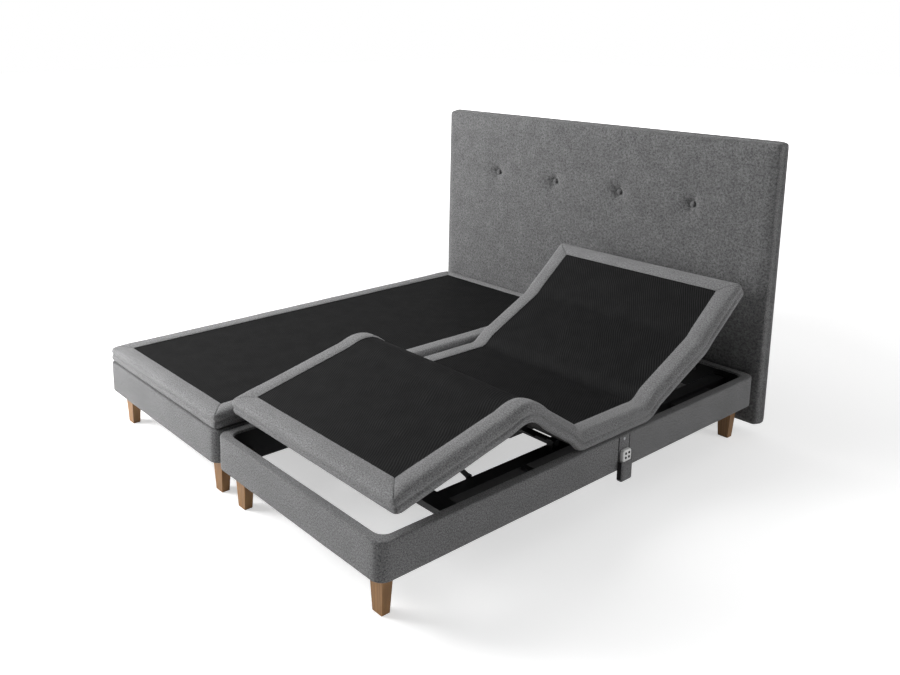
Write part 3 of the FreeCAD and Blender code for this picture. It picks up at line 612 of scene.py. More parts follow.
def dress_platforms():
    """Border and panel of both bases, in four stretches that each bend over one hinge."""
    border, panel = platform_parts()
    hinges = [bend.place.y for bend in BENDS]
    between = [(hinges[number] + hinges[number + 1]) / 2 for number in range(3)]
    limits = [flat_low.y - 1] + between + [flat_high.y + 1]
    for number, bend in enumerate(BENDS):
        first, last = limits[number], limits[number + 1]
        for kind, whole in (("border", border), ("panel", panel)):
            left = stretch_of(whole, f"{kind}_{bend.label}_left", first, last)
            right = copied(left, f"{kind}_{bend.label}_right")
            rows = places(right)
            rows[:, 0] += ACROSS
            put(right, laid(rows, "right", bend))
            finish_stretch(left, kind, "left", bend)
            finish_stretch(right, kind, "right", bend)
    bpy.data.objects.remove(border)
    bpy.data.objects.remove(panel)


def finish_stretch(piece, kind, side, bend):
    """Shading and cloth for a stretch; a border stretch hides the pads it stands for."""
    smooth(piece, 50)
    rise = bend.place.z + BLEND_RISE
    ends = laid(np.array([[0.0, bend.start, rise], [0.0, bend.end, rise]]), side, bend)
    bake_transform(piece)
    if kind == "border":
        dress(piece, "platform_fabric")
        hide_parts(*[f"{section}_pad_{side}" for section in bend.pads])
    else:
        dress(piece, "platform_mesh")


# ---------------------------------------------------------------- frame

def outline(name, low, high, height, corner):
    """A closed line round a rectangle with rounded corners."""
    clear_selection()
    place = ((low.x + high.x) / 2, (low.y + high.y) / 2, height)
    bpy.ops.mesh.primitive_plane_add(size=1, location=place)
    piece = named(bpy.context.object, name)
    piece.scale = (high.x - low.x, high.y - low.y, 1)
    edit_all(settle(piece))
    bpy.ops.mesh.bevel(offset=corner, segments=CORNER_STEPS, affect="VERTICES")
    bpy.ops.mesh.select_all(action="SELECT")
    bpy.ops.mesh.delete(type="ONLY_FACE")
    done()
    return piece


def rail_names(side):
    """The four boards of one frame."""
    return [f"{rail}_rail_{side}" for rail in RAILS]


def frame_cover(side):
    """Cloth over the four boards of a frame, rolled over their top edges."""
    low, high = joined_box(rail_names(side))
    sides = Vector((COVER_PROUD, 0, 0))
    foot = Vector((0, COVER_PROUD, 0))
    outer = outline("outer", low - sides - foot, high + sides, high.z, FRAME_CORNER)
    board = Vector((FRAME_BOARD, FRAME_BOARD, 0))
    inner = outline("inner", low + board, high - board, high.z, FRAME_INNER_CORNER)
    cover = merged(f"frame_cover_{side}", [outer, inner])
    edit_all(cover)
    bpy.ops.mesh.bridge_edge_loops()
    bpy.ops.mesh.select_all(action="SELECT")
    bpy.ops.mesh.normals_make_consistent(inside=False)
    done()
    up = sum(face.normal.z for face in cover.data.polygons)
    finish_with(cover, "SOLIDIFY", thickness=high.z - low.z, offset=-1 if up > 0 else 1)
    outward(cover)
    centre = (low + high) / 2

    def rim(edge, height, inside):
        level = all(abs(point.co.z - height) < 0.0005 for point in edge.verts)
        if not level or len(edge.link_faces) != 2:
            return False
        first, second = (face.normal.z for face in edge.link_faces)
        place = middle(edge)
        reach_x = (high.x - low.x) / 2 - abs(place.x - centre.x)
        reach_y = (high.y - low.y) / 2 - abs(place.y - centre.y)
        return abs(first - second) > 0.5 and (min(reach_x, reach_y) > FRAME_BOARD / 2) == inside

    bevel(cover, lambda edge: rim(edge, high.z, False), FRAME_EDGE, 5)
    bevel(cover, lambda edge: rim(edge, high.z, True), FRAME_EDGE, 3)
    bevel(cover, lambda edge: rim(edge, low.z, False), FRAME_LOWER_EDGE, 3)
    divide(cover, ((0, 0.3, 36), (1, 0.3, 80), (2, 0.05, 5)))
    ripple(cover, low, high)
    unwrap(smooth(cover, 50))
    mount(cover, "frame_fabric")
    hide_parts(*rail_names(side))


def ripple(cover, low, high):
    """Small waves in the cloth on the outer sides of a frame."""
    rows, normals = places(cover), directions(cover)
    outer = np.minimum(np.minimum(rows[:, 0] - low.x, high.x - rows[:, 0]),
                       np.minimum(rows[:, 1] - low.y, high.y - rows[:, 1])) < 0.02
    swell = COVER_WAVE * unevenness(rows * (7, 7, 10)) + COVER_RIPPLE * unevenness(rows * (40, 40, 16))
    put(cover, rows + normals * (swell * outer)[:, None])


def frame_lining(side):
    """Black lining on the inside of a frame."""
    low, high = joined_box(rail_names(side))
    board = Vector((FRAME_BOARD + LINING_GAP, FRAME_BOARD + LINING_GAP, 0))
    top, foot = high.z - LINING_DROP, low.z + LINING_RISE
    wall = outline(f"frame_lining_{side}", low + board, high - board, top, FRAME_INNER_CORNER)
    edit_all(wall)
    bpy.ops.mesh.extrude_region_move(TRANSFORM_OT_translate={"value": (0, 0, foot - top)})
    bpy.ops.mesh.select_all(action="SELECT")
    bpy.ops.mesh.normals_make_consistent(inside=False)
    done()
    finish_with(wall, "SOLIDIFY", thickness=LINING_THICKNESS, offset=0)
    outward(wall)
    unwrap(smooth(wall, 40))
    mount(wall, "lining")


def corner_blocks(side):
    """Four hardwood blocks for the legs in a frame's corners, chamfered towards the inside."""
    low, high = joined_box(rail_names(side))
    inset = FRAME_BOARD + BLOCK_GAP
    blocks = []
    for x_sign in (-1, 1):
        for y_sign in (-1, 1):
            corner = Vector((high.x if x_sign > 0 else low.x, high.y if y_sign > 0 else low.y, low.z))
            near = corner - Vector((x_sign * inset, y_sign * inset, 0))
            far = near - Vector((x_sign * BLOCK_SIZE, y_sign * BLOCK_SIZE, -BLOCK_HEIGHT))
            piece = block(f"corner_{len(blocks)}", map(min, near, far), map(max, near, far))

            def upright_by(edge, place):
                return runs_along(edge, 2) and (middle(edge).xy - place.xy).length < 0.004

            bevel(piece, lambda edge: upright_by(edge, far), BLOCK_CHAMFER, 1)
            bevel(piece, lambda edge: upright_by(edge, near), FRAME_INNER_CORNER + 0.001, 6)
            bevel(piece, lambda edge: not runs_along(edge, 2), 0.0015, 2)
            blocks.append(piece)
    mount(smooth(merged(f"corner_blocks_{side}", blocks), 30), "beech")


# ---------------------------------------------------------------- headboard

def button_places():
    """The middles of the four buttons, from the CAD buttons' box."""
    low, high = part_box("headboard_buttons")
    radius = (high.z - low.z) / 2
    first, last = low.x + radius, high.x - radius
    return [Vector((first + (last - first) * number / 3, low.y, low.z + radius)) for number in range(4)]


def headboard_padding():
    """Thick wadding under cloth, drawn in by four buttons."""
    low, high = joined_box(["headboard_padding", "headboard_board"])
    slim = HEADBOARD_SLIM
    body = block("headboard_cover", low + Vector((slim, slim, slim)),
                 high - Vector((slim, HEADBOARD_BACK_GAP, slim)))
    bevel(body, lambda edge: runs_along(edge, 1), HEADBOARD_CORNER, 4)
    bevel(body, lambda edge: middle(edge).y < low.y + slim + 0.001, HEADBOARD_EDGE, 4)
    bevel(body, lambda edge: middle(edge).y > high.y - 0.002, HEADBOARD_BACK_EDGE, 2)
    remeshed(body, HEADBOARD_VOXEL)
    puff(body, lambda rows: rows[:, 1] > high.y - HEADBOARD_BACK_HOLD, HEADBOARD_PRESSURE, HEADBOARD_SWELL)
    finish_with(body, "SUBSURF", levels=1, render_levels=1)
    draw_in(body, (low.y + high.y) / 2)
    unwrap(smooth(body, 50))
    mount(body, "headboard_fabric")
    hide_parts("headboard_padding", "headboard_board")


def draw_in(body, middle_y):
    """A hollow at each button with folds that run out from it, and slow waves over the whole front."""
    rows = places(body)
    front = (rows[:, 1] < middle_y).astype(float)
    lift = HEADBOARD_WAVE * unevenness(rows * (2.6, 0, 2.6) + (0, 4, 0))
    for number, place in enumerate(button_places()):
        across, up = rows[:, 0] - place.x, rows[:, 2] - place.z
        away = np.hypot(across, up)
        round_it = np.arctan2(up, across)
        share = np.clip(1 - np.maximum(away - BUTTON_RADIUS, 0) / DIMPLE_REACH, 0, 1)
        lift -= BUTTON_DEPTH * (0.5 * share ** 2.5 + 0.5 * share ** 10)
        sway = 0.9 + 0.5 * number + 0.9 * np.sin(round_it * 2 + number)
        folds = 0.5 + 0.5 * np.cos(4 * round_it + sway)
        reach = eased((away - 0.010) / 0.012) * (1 - eased((away - 0.016) / 0.045))
        lift -= DIMPLE_FOLD * folds ** 3 * reach
    rows[:, 1] -= front * lift
    put(body, rows)


def headboard_buttons():
    """Four buttons covered in the headboard's cloth, each sunk in its hollow."""
    model = disc("button", (0, BUTTON_SEAT, 0), BUTTON_RADIUS, BUTTON_THICKNESS, "Y", 40)
    front, back = BUTTON_SEAT - BUTTON_THICKNESS / 2, BUTTON_SEAT + BUTTON_THICKNESS / 2
    bevel(model, lambda edge: middle(edge).y < front + 0.001, 0.0068, 5)
    bevel(model, lambda edge: middle(edge).y > back - 0.001, 0.002, 2)
    pick(model, "FACE", lambda face: face.normal.y < -0.99)
    bpy.ops.mesh.inset(thickness=0.004)
    bpy.ops.transform.translate(value=(0, -0.0007, 0))
    done()
    finish_with(model, "SUBSURF", levels=2, render_levels=2)
    unwrap(smooth(model, 60))
    for number, place in enumerate(button_places()):
        button = placed(model, f"headboard_button_{number + 1}", place)
        mount(button, "headboard_fabric")
        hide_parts("headboard_buttons")
    bpy.data.objects.remove(model)


def headboard_back():
    """A thin black cloth over the board at the back, folded under and stapled."""
    low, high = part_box("headboard_board")
    margin = Vector((BACK_MARGIN, 0, BACK_MARGIN))
    low, high = low + margin, high - margin
    cloth = block("headboard_back_cloth", (low.x, high.y + BACK_CLOTH_NEAR, low.z),
                  (high.x, high.y + BACK_CLOTH_FAR, high.z))
    bevel(cloth, lambda edge: runs_along(edge, 1), 0.008, 3)
    divide(cloth, ((0, 0.3, 60), (2, 0.3, 40)))
    outward(cloth)
    unwrap(smooth(cloth, 40))
    mount(cloth, "back_cloth")
    staples(low, high)


def staples(low, high):
    """Staples round the edge of the back cloth."""
    model = block("staple", (-0.006, high.y + 0.0014, -0.0006), (0.006, high.y + 0.0027, 0.0006))
    bevel(model, lambda edge: runs_along(edge, 2), 0.0005, 2)
    width, height = high.x - low.x, high.z - low.z
    across, up = int(width / STAPLE_SPACING), int(height / STAPLE_SPACING)
    made = []
    for level in (low.z + STAPLE_INSET, high.z - STAPLE_INSET):
        for number in range(across + 1):
            x = low.x + STAPLE_END + (width - 2 * STAPLE_END) * number / across
            made.append(placed(model, f"staple_{len(made)}", (x, 0, level)))
    for edge in (low.x + STAPLE_INSET, high.x - STAPLE_INSET):
        for number in range(1, up):
            place = (edge, 0, low.z + height * number / up)
            made.append(placed(model, f"staple_{len(made)}", place, order=(2, 1, 0)))
    bpy.data.objects.remove(model)
    mount(outward(merged("back_cloth_staples", made), 0.000001), "zinc")


# ---------------------------------------------------------------- holster

def holster():
    """A cloth strap on the side of the frame, folded up at the bottom into a pocket."""
    low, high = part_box("handset_holster")
    pocket_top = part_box("handset_shell")[1].z - POCKET_DROP
    face = low.x + STRAP_THICKNESS

    def lower_corner(edge):
        return runs_along(edge, 0) and middle(edge).z < low.z + 0.001

    strap = block("holster_strap", low, (face, high.y, high.z))
    bevel(strap, lower_corner, POCKET_CORNER, 5)
    bevel(strap, lambda edge: runs_along(edge, 1) or runs_along(edge, 2, 0.02), 0.0006, 2)
    pocket = block("holster_pocket", (face - 0.0004, low.y, low.z), (high.x, high.y, pocket_top))
    bevel(pocket, lower_corner, POCKET_CORNER, 5)
    bevel(pocket, lambda edge: middle(edge).x > high.x - 0.0005 and middle(edge).z < pocket_top - 0.0005,
          0.006, 4)
    pick(pocket, "FACE", lambda part: part.normal.z > 0.9
         and part.calc_center_median().z > pocket_top - 0.001)
    bpy.ops.mesh.inset(thickness=STRAP_THICKNESS * 0.95)
    bpy.ops.mesh.extrude_region_move(TRANSFORM_OT_translate={"value": (0, 0, low.z + 0.0022 - pocket_top)})
    done()
    piece = outward(merged("holster", [strap, pocket]), 0.00001)
    unwrap(smooth(piece, 40))
    mount(piece, "frame_fabric")
    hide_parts("handset_holster")
    edge_shade_strips(low, high, face, pocket_top)
    edge_stitches(low, high, pocket_top)
    press_stud(face, (low.y + high.y) / 2, high.z - STUD_DROP)


def edge_shade_strips(low, high, face, pocket_top):
    """Near-black strips over both edges of the strap and down the sides of the pocket: painted shade for the
    shadow gap along these edges.
    """
    shapes = ((high.z - 0.0008, face, 0.0026), (pocket_top - 0.001, high.x - 0.004, 0.0008))
    shade_strips = []
    for edge, inward in ((low.y, 1), (high.y, -1)):
        for top, front, width in shapes:
            ends = (edge - inward * 0.0007, edge + inward * width)
            shade_strip = block(f"tape_{len(shade_strips)}", (low.x + 0.0003, min(ends), low.z + 0.009),
                         (front + 0.0006, max(ends), top))
            bevel(shade_strip, lambda edge: runs_along(edge, 2), 0.0003, 2)
            shade_strips.append(shade_strip)
    # Painted shade: the strips take the near-black lining finish where the edges fall into shadow.
    mount(unwrap(smooth(merged("holster_shade_strips", shade_strips), 40)), "lining")


def edge_stitches(low, high, pocket_top):
    """A row of stitches down both edges of the pocket and along its top hem."""
    model = block("stitch", (-0.0004, -0.0007, -0.0017), (0.0004, 0.0007, 0.0017))
    bevel(model, lambda edge: True, 0.0003, 2)
    face = high.x + 0.0001
    made = []
    for edge in (low.y + STITCH_INSET, high.y - STITCH_INSET):
        for number in range(12):
            place = (face, edge, low.z + 0.012 + number * STITCH_PITCH)
            made.append(placed(model, f"stitch_{len(made)}", place))
    for number in range(8):
        place = (face, low.y + 0.013 + number * HEM_PITCH, pocket_top - 0.006)
        made.append(placed(model, f"stitch_{len(made)}", place, order=(0, 2, 1)))
    bpy.data.objects.remove(model)
    mount(outward(merged("holster_stitches", made), 0.000001), "thread")


def press_stud(face, y, z):
    """A low press stud with a rolled rim."""
    stud = disc("holster_stud", (face, y, z), STUD_RADIUS, STUD_HEIGHT, "X")
    pick(stud, "FACE", lambda part: part.normal.x > 0.99)
    bpy.ops.mesh.inset(thickness=0.0012)
    bpy.ops.transform.translate(value=(-0.0003, 0, 0))
    bpy.ops.mesh.inset(thickness=0.0008)
    bpy.ops.transform.translate(value=(0.0002, 0, 0))
    done()
    bevel(stud, lambda edge: middle(edge).x > face + 0.0003, 0.00012, 2)
    mount(smooth(stud, 30), "zinc")


# ---------------------------------------------------------------- materials

def add(tree, kind, inputs=None, **settings):
    """One node with its settings. Each input, by name or number, is a value or another node's output."""
    node = tree.nodes.new(kind)
    for name, value in settings.items():
        setattr(node, name, value)
    for name, value in (inputs or {}).items():
        if isinstance(value, bpy.types.NodeSocket):
            tree.links.new(value, node.inputs[name])
        else:
            node.inputs[name].default_value = value
    return node


def maths(tree, operation, *values):
    """The output of a maths node."""
    return add(tree, "ShaderNodeMath", dict(enumerate(values)), operation=operation).outputs[0]


def times(tree, first, second):
    """The product of two values."""
    return maths(tree, "MULTIPLY", first, second)


def plus(tree, first, second):
    """The sum of two values."""
    return maths(tree, "ADD", first, second)


def noise_of(tree, place, scale, detail=3.0, roughness=0.5, distortion=0.0):
    """A noise value over a place, in waves per metre."""
    return add(tree, "ShaderNodeTexNoise", {
        "Vector": place, "Scale": scale, "Detail": detail, "Roughness": roughness,
        "Distortion": distortion}).outputs["Fac"]


def scaled(tree, place, factors):
    """A place stretched along each axis."""
    return add(tree, "ShaderNodeVectorMath", {0: place, 1: factors}, operation="MULTIPLY").outputs[0]


def split(tree, place):
    """The three parts of a place."""
    return add(tree, "ShaderNodeSeparateXYZ", {0: place}).outputs


def spread(tree, value, low, high):
    """A value stretched so that low becomes 0 and high becomes 1."""
    return add(tree, "ShaderNodeMapRange", {"Value": value, "From Min": low, "From Max": high},
               clamp=True).outputs["Result"]


def mixed(tree, share, dark, light):
    """A colour between two, each given as a tuple or another node's output."""
    dark, light = ((*colour, 1) if isinstance(colour, tuple) else colour for colour in (dark, light))
    return add(tree, "ShaderNodeMix", {0: share, 6: dark, 7: light}, data_type="RGBA").outputs[2]


def group_with(name, inputs, outputs):
    """An empty node group: Place and other numbers go in, values come out."""
    tree = bpy.data.node_groups.new(name, "ShaderNodeTree")
    tree.interface.new_socket(name="Place", in_out="INPUT", socket_type="NodeSocketVector")
    for label in inputs:
        tree.interface.new_socket(name=label, in_out="INPUT", socket_type="NodeSocketFloat")
    for label in outputs:
        tree.interface.new_socket(name=label, in_out="OUTPUT", socket_type="NodeSocketFloat")
    return tree, add(tree, "NodeGroupInput").outputs, add(tree, "NodeGroupOutput").inputs


def woven_threads():
    """Plain weave: a height, flecks along each thread and a slow change of shade."""
    tree, given, result = group_with("Woven threads", ["Threads per metre"], ["Height", "Flecks", "Shade"])
    place = given["Place"]
    parts = split(tree, place)
    turns = times(tree, given["Threads per metre"], math.pi)
    warp = maths(tree, "SINE", times(tree, parts[0], turns))
    weft = maths(tree, "SINE", times(tree, parts[1], turns))
    over = maths(tree, "GREATER_THAN", times(tree, warp, weft), 0.0)
    under = maths(tree, "SUBTRACT", 1.0, over)
    height = plus(tree, times(tree, maths(tree, "ABSOLUTE", warp), over),
                  times(tree, maths(tree, "ABSOLUTE", weft), under))
    warp_fleck = noise_of(tree, scaled(tree, place, (1.0, 0.32, 1.0)), 420, 2.5, 0.6)
    weft_fleck = noise_of(tree, scaled(tree, place, (0.32, 1.0, 1.0)), 420, 2.5, 0.6)
    flecks = plus(tree, times(tree, warp_fleck, over), times(tree, weft_fleck, under))
    loose = noise_of(tree, place, 200, 3.0, 0.7)
    both = plus(tree, times(tree, flecks, 0.5), times(tree, loose, 0.5))
    shade = noise_of(tree, place, 9, 3.0, 0.55)
    tree.links.new(height, result["Height"])
    tree.links.new(spread(tree, both, 0.42, 0.58), result["Flecks"])
    tree.links.new(spread(tree, shade, 0.3, 0.7), result["Shade"])
    return tree


def worn_and_highlit_edges():
    """Finds the edges of a hard part, broken up by noise; the materials paint them lighter, as wear and as a
    painted highlight.
    """
    tree, given, result = group_with("Worn edges", ["Width"], ["Wear"])
    rounded = add(tree, "ShaderNodeBevel", {"Radius": given["Width"]}, samples=4)
    flat = add(tree, "ShaderNodeNewGeometry")
    facing = add(tree, "ShaderNodeVectorMath", {0: rounded.outputs["Normal"], 1: flat.outputs["Normal"]},
                 operation="DOT_PRODUCT")
    edge = spread(tree, maths(tree, "SUBTRACT", 1.0, facing.outputs["Value"]), 0.02, 0.25)
    broken = spread(tree, noise_of(tree, given["Place"], 60, 4.0, 0.7), 0.42, 0.66)
    tree.links.new(times(tree, edge, broken), result["Wear"])
    return tree


def fine_grain():
    """Small speckle and slow smudges for coated and moulded parts."""
    tree, given, result = group_with("Fine grain", ["Size per metre"], ["Height", "Smudge"])
    speckle = noise_of(tree, given["Place"], given["Size per metre"], 2.0)
    smudge = noise_of(tree, given["Place"], 14, 4.0, 0.6)
    tree.links.new(speckle, result["Height"])
    tree.links.new(spread(tree, smudge, 0.35, 0.7), result["Smudge"])
    return tree


GROUPS = {"weave": woven_threads(), "wear_and_highlight": worn_and_highlit_edges(), "grain": fine_grain()}


def use_group(tree, name, place, **values):
    """The outputs of a shared group placed in a material."""
    node = add(tree, "ShaderNodeGroup", node_tree=GROUPS[name])
    tree.links.new(place, node.inputs["Place"])
    for label, value in values.items():
        node.inputs[label.replace("_", " ")].default_value = value
    return node.outputs


def bare_material(name, roughness, **sockets):
    """A material with one shader, and its constants on the shader's own sockets."""
    material = bpy.data.materials.new(name)
    material.use_nodes = True
    tree = material.node_tree
    shader = tree.nodes["Principled BSDF"]
    shader.inputs["Roughness"].default_value = roughness
    for label, value in sockets.items():
        shader.inputs[label.replace("_", " ")].default_value = value
    return material, tree, shader


def surface(tree, shader, colour, roughness, height, strength, distance):
    """Feeds a material's colour and roughness, and raises its surface by a height."""
    raised = add(tree, "ShaderNodeBump", {"Height": height, "Strength": strength, "Distance": distance})
    tree.links.new(colour, shader.inputs["Base Color"])
    tree.links.new(roughness, shader.inputs["Roughness"])
    tree.links.new(raised.outputs["Normal"], shader.inputs["Normal"])


def shade_of(colour, factor, lift=0.0):
    """A colour made darker or lighter."""
    return tuple(min(1, part * factor + lift) for part in colour)


def sewn_map(tree):
    """The piece's own flat map, in metres."""
    return add(tree, "ShaderNodeUVMap").outputs["UV"]


def own_place(tree):
    """Where a point is on its object, in metres."""
    return add(tree, "ShaderNodeTexCoord").outputs["Object"]


def upholstery(name, dark, light, threads, relief):
    """Heathered flat-woven cloth."""
    material, tree, shader = bare_material(name, 0.9, Sheen_Weight=0.25, Sheen_Roughness=0.5,
                                           Specular_IOR_Level=0.2)
    weave = use_group(tree, "weave", sewn_map(tree), Threads_per_metre=threads)
    colour = mixed(tree, weave["Flecks"], dark, light)
    shaded = mixed(tree, times(tree, weave["Shade"], 0.22), colour, shade_of(dark, 0.55))
    raised = plus(tree, weave["Height"], times(tree, weave["Flecks"], 0.8))
    surface(tree, shader, shaded, spread(tree, weave["Flecks"], -2.5, 1.6), raised, 0.55, relief)
    return material


def felted(name, dark, light):
    """Felt-like headboard cloth with a mottled nap."""
    material, tree, shader = bare_material(name, 0.95, Sheen_Weight=0.35, Sheen_Roughness=0.45,
                                           Specular_IOR_Level=0.15)
    place = sewn_map(tree)
    weave = use_group(tree, "weave", place, Threads_per_metre=480)
    nap = spread(tree, noise_of(tree, place, 105, 5.0, 0.78, 0.6), 0.42, 0.58)
    cloud = spread(tree, noise_of(tree, place, 14, 5.0, 0.65, 0.4), 0.34, 0.66)
    share = plus(tree, times(tree, nap, 0.62), times(tree, weave["Flecks"], 0.38))
    shaded = mixed(tree, times(tree, cloud, 0.30), mixed(tree, share, dark, light), shade_of(dark, 0.6))
    raised = plus(tree, nap, times(tree, weave["Height"], 0.5))
    surface(tree, shader, shaded, spread(tree, nap, -3.0, 1.4), raised, 0.6, 0.0012)
    return material


def spacer_mesh(name):
    """Black ribbed mesh, whose ribs wander and slant, with knots along them."""
    rib_pitch, knot_pitch = 0.0095, 0.0062
    material, tree, shader = bare_material(name, 0.7, Specular_IOR_Level=0.08)
    place = sewn_map(tree)
    parts = split(tree, place)
    drift = times(tree, noise_of(tree, place, 7, 2.0), 0.030)
    slant = plus(tree, drift, times(tree, parts[1], 0.5))
    ribs = times(tree, plus(tree, parts[0], slant), 2 * math.pi / rib_pitch)
    knots = times(tree, parts[1], 2 * math.pi / knot_pitch)
    height = plus(tree, maths(tree, "COSINE", ribs), times(tree, maths(tree, "COSINE", knots), 0.35))
    grain = use_group(tree, "grain", place, Size_per_metre=900.0)
    hole = spread(tree, height, -0.9, 0.7)
    thread = mixed(tree, grain["Smudge"], (0.011, 0.011, 0.0115), (0.017, 0.017, 0.0175))
    surface(tree, shader, mixed(tree, hole, (0.0015, 0.0015, 0.0015), thread),
            spread(tree, grain["Height"], -1.4, 1.4), plus(tree, hole, times(tree, grain["Height"], 0.35)),
            0.5, 0.0009)
    return material


def pressed_cloth(name, colour, speck):
    """Non-woven lining with a pressed dot pattern."""
    material, tree, shader = bare_material(name, 0.85, Sheen_Weight=0.1, Specular_IOR_Level=0.25)
    place = sewn_map(tree)
    dots = add(tree, "ShaderNodeTexVoronoi", {"Vector": place, "Scale": 420, "Randomness": 0.25})
    dots = dots.outputs["Distance"]
    grain = use_group(tree, "grain", place, Size_per_metre=700.0)
    share = times(tree, spread(tree, dots, 0.1, 0.5), grain["Smudge"])
    surface(tree, shader, mixed(tree, share, colour, speck), spread(tree, grain["Height"], -2.4, 1.2),
            dots, 0.35, 0.0006)
    return material


def oak(name):
    """Oiled oak with the grain running up the leg."""
    material, tree, shader = bare_material(name, 0.42, Specular_IOR_Level=0.4, Coat_Weight=0.12,
                                           Coat_Roughness=0.35)
    place = own_place(tree)
    grain = noise_of(tree, scaled(tree, place, (38.0, 38.0, 2.2)), 1.0, 5.0, 0.62, 0.7)
    pores = noise_of(tree, scaled(tree, place, (700.0, 700.0, 26.0)), 1.0, 2.0, 0.6)
    pores = spread(tree, pores, 0.60, 0.74)
    rings = add(tree, "ShaderNodeTexWave", {
        "Vector": scaled(tree, place, (1.0, 1.0, 0.10)), "Scale": 26.0, "Distortion": 5.5, "Detail": 3.0,
        "Detail Scale": 0.9}, wave_type="BANDS", bands_direction="X")
    share = plus(tree, times(tree, spread(tree, grain, 0.3, 0.7), 0.6),
                 times(tree, rings.outputs["Fac"], 0.4))
    base = mixed(tree, share, (0.165, 0.080, 0.027), (0.320, 0.168, 0.062))
    wood = mixed(tree, times(tree, pores, 0.6), base, (0.085, 0.040, 0.018))
    wear_and_highlight = use_group(tree, "wear_and_highlight", place, Width=0.0018)["Wear"]
    # Painted highlight and wear: the rounded edges are mixed towards a light oak colour.
    surface(tree, shader, mixed(tree, times(tree, wear_and_highlight, 0.45), wood, (0.48, 0.28, 0.14)),
            spread(tree, grain, -0.9, 1.9), maths(tree, "SUBTRACT", grain, pores), 0.25, 0.0006)
    return material


def board(name, dark, light):
    """Plain sawn board, stained."""
    material, tree, shader = bare_material(name, 0.7, Specular_IOR_Level=0.3)
    place = own_place(tree)
    grain = noise_of(tree, scaled(tree, place, (60.0, 5.0, 60.0)), 1.0, 5.0, 0.65, 0.8)
    wear_and_highlight = use_group(tree, "wear_and_highlight", place, Width=0.0015)["Wear"]
    wood = mixed(tree, spread(tree, grain, 0.3, 0.7), dark, light)
    # Painted highlight and wear: the rounded edges are mixed towards a lighter colour.
    surface(tree, shader, mixed(tree, times(tree, wear_and_highlight, 0.3), wood, shade_of(light, 1.8)),
            spread(tree, grain, -1.2, 1.2), grain, 0.25, 0.0008)
    return material


def coated_metal(name, coat, bare_and_highlight, roughness, metallic):
    """Powder-coated or plated metal, lighter along its edges, partly as wear and partly as a painted
    highlight.
    """
    material, tree, shader = bare_material(name, roughness, Specular_IOR_Level=0.5, Metallic=metallic)
    place = own_place(tree)
    grain = use_group(tree, "grain", place, Size_per_metre=1500.0)
    wear_and_highlight = use_group(tree, "wear_and_highlight", place, Width=0.0012)["Wear"]
    dusty = mixed(tree, times(tree, grain["Smudge"], 0.35), coat, shade_of(coat, 1.7, 0.004))
    # Painted highlight and wear: the rounded edges take the lighter bare colour.
    surface(tree, shader, mixed(tree, times(tree, wear_and_highlight, 0.55), dusty, bare_and_highlight),
            plus(tree, times(tree, grain["Smudge"], 0.16), roughness - 0.06), grain["Height"], 0.25, 0.0003)
    return material


def moulded(name, colour, roughness, grain_size, wear_and_highlight_colour):
    """Moulded plastic or rubber with a fine spark grain."""
    material, tree, shader = bare_material(name, roughness, Specular_IOR_Level=0.45)
    place = own_place(tree)
    grain = use_group(tree, "grain", place, Size_per_metre=grain_size)
    wear_and_highlight = use_group(tree, "wear_and_highlight", place, Width=0.0008)["Wear"]
    tinted = mixed(tree, times(tree, grain["Smudge"], 0.3), colour, shade_of(colour, 0.82))
    # Painted highlight and wear: the rounded edges take the lighter edge colour.
    surface(tree, shader, mixed(tree, times(tree, wear_and_highlight, 0.4), tinted, wear_and_highlight_colour),
            plus(tree, times(tree, grain["Smudge"], 0.12), roughness - 0.05), grain["Height"], 0.2, 0.0002)
    return material


def grey(value, blue=0.0):
    """A neutral colour, with a little more blue where asked."""
    return (value, value, value + blue)


MATERIALS = {
    "platform_fabric": upholstery("Platform cloth", grey(0.088, 0.002), grey(0.285, 0.003), 520, 0.0009),
    "frame_fabric": upholstery("Frame cloth", grey(0.056, 0.002), grey(0.250, 0.003), 520, 0.0010),
    "headboard_fabric": felted("Headboard felt", grey(0.045, 0.001), grey(0.205, 0.002)),
    "platform_mesh": spacer_mesh("Ribbed mesh"),
    "lining": pressed_cloth("Frame lining", grey(0.006, 0.001), grey(0.014, 0.001)),
    "back_cloth": pressed_cloth("Back cloth", grey(0.010, 0.001), grey(0.024, 0.002)),
    "thread": upholstery("Sewing thread", grey(0.05, 0.002), grey(0.12, 0.002), 900, 0.0003),
    "oak": oak("Oiled oak"),
    "deck_board": board("Black stained board", (0.010, 0.009, 0.008), (0.024, 0.022, 0.020)),
    "beech": board("Stained block", (0.020, 0.017, 0.014), (0.045, 0.038, 0.031)),
    "black_steel": coated_metal("Black powder coat", grey(0.010, 0.001), grey(0.13, 0.005), 0.42, 0.0),
    "zinc": coated_metal("Zinc plate", (0.52, 0.53, 0.55), grey(0.75, 0.01), 0.34, 1.0),
    "drive_plastic": moulded("Drive housing", grey(0.014, 0.001), 0.5, 1100.0, grey(0.05, 0.002)),
    "nylon": moulded("Black nylon", grey(0.011, 0.001), 0.4, 900.0, grey(0.05)),
    "handset_plastic": moulded("Handset shell", grey(0.78, -0.01), 0.33, 1600.0, grey(0.86, -0.01)),
    "key_rubber": moulded("Key rubber", grey(0.012, 0.001), 0.55, 1800.0, grey(0.04)),
}


def dress(piece, finish):
    """Gives a piece its one material."""
    piece.data.materials.clear()
    piece.data.materials.append(MATERIALS[finish])


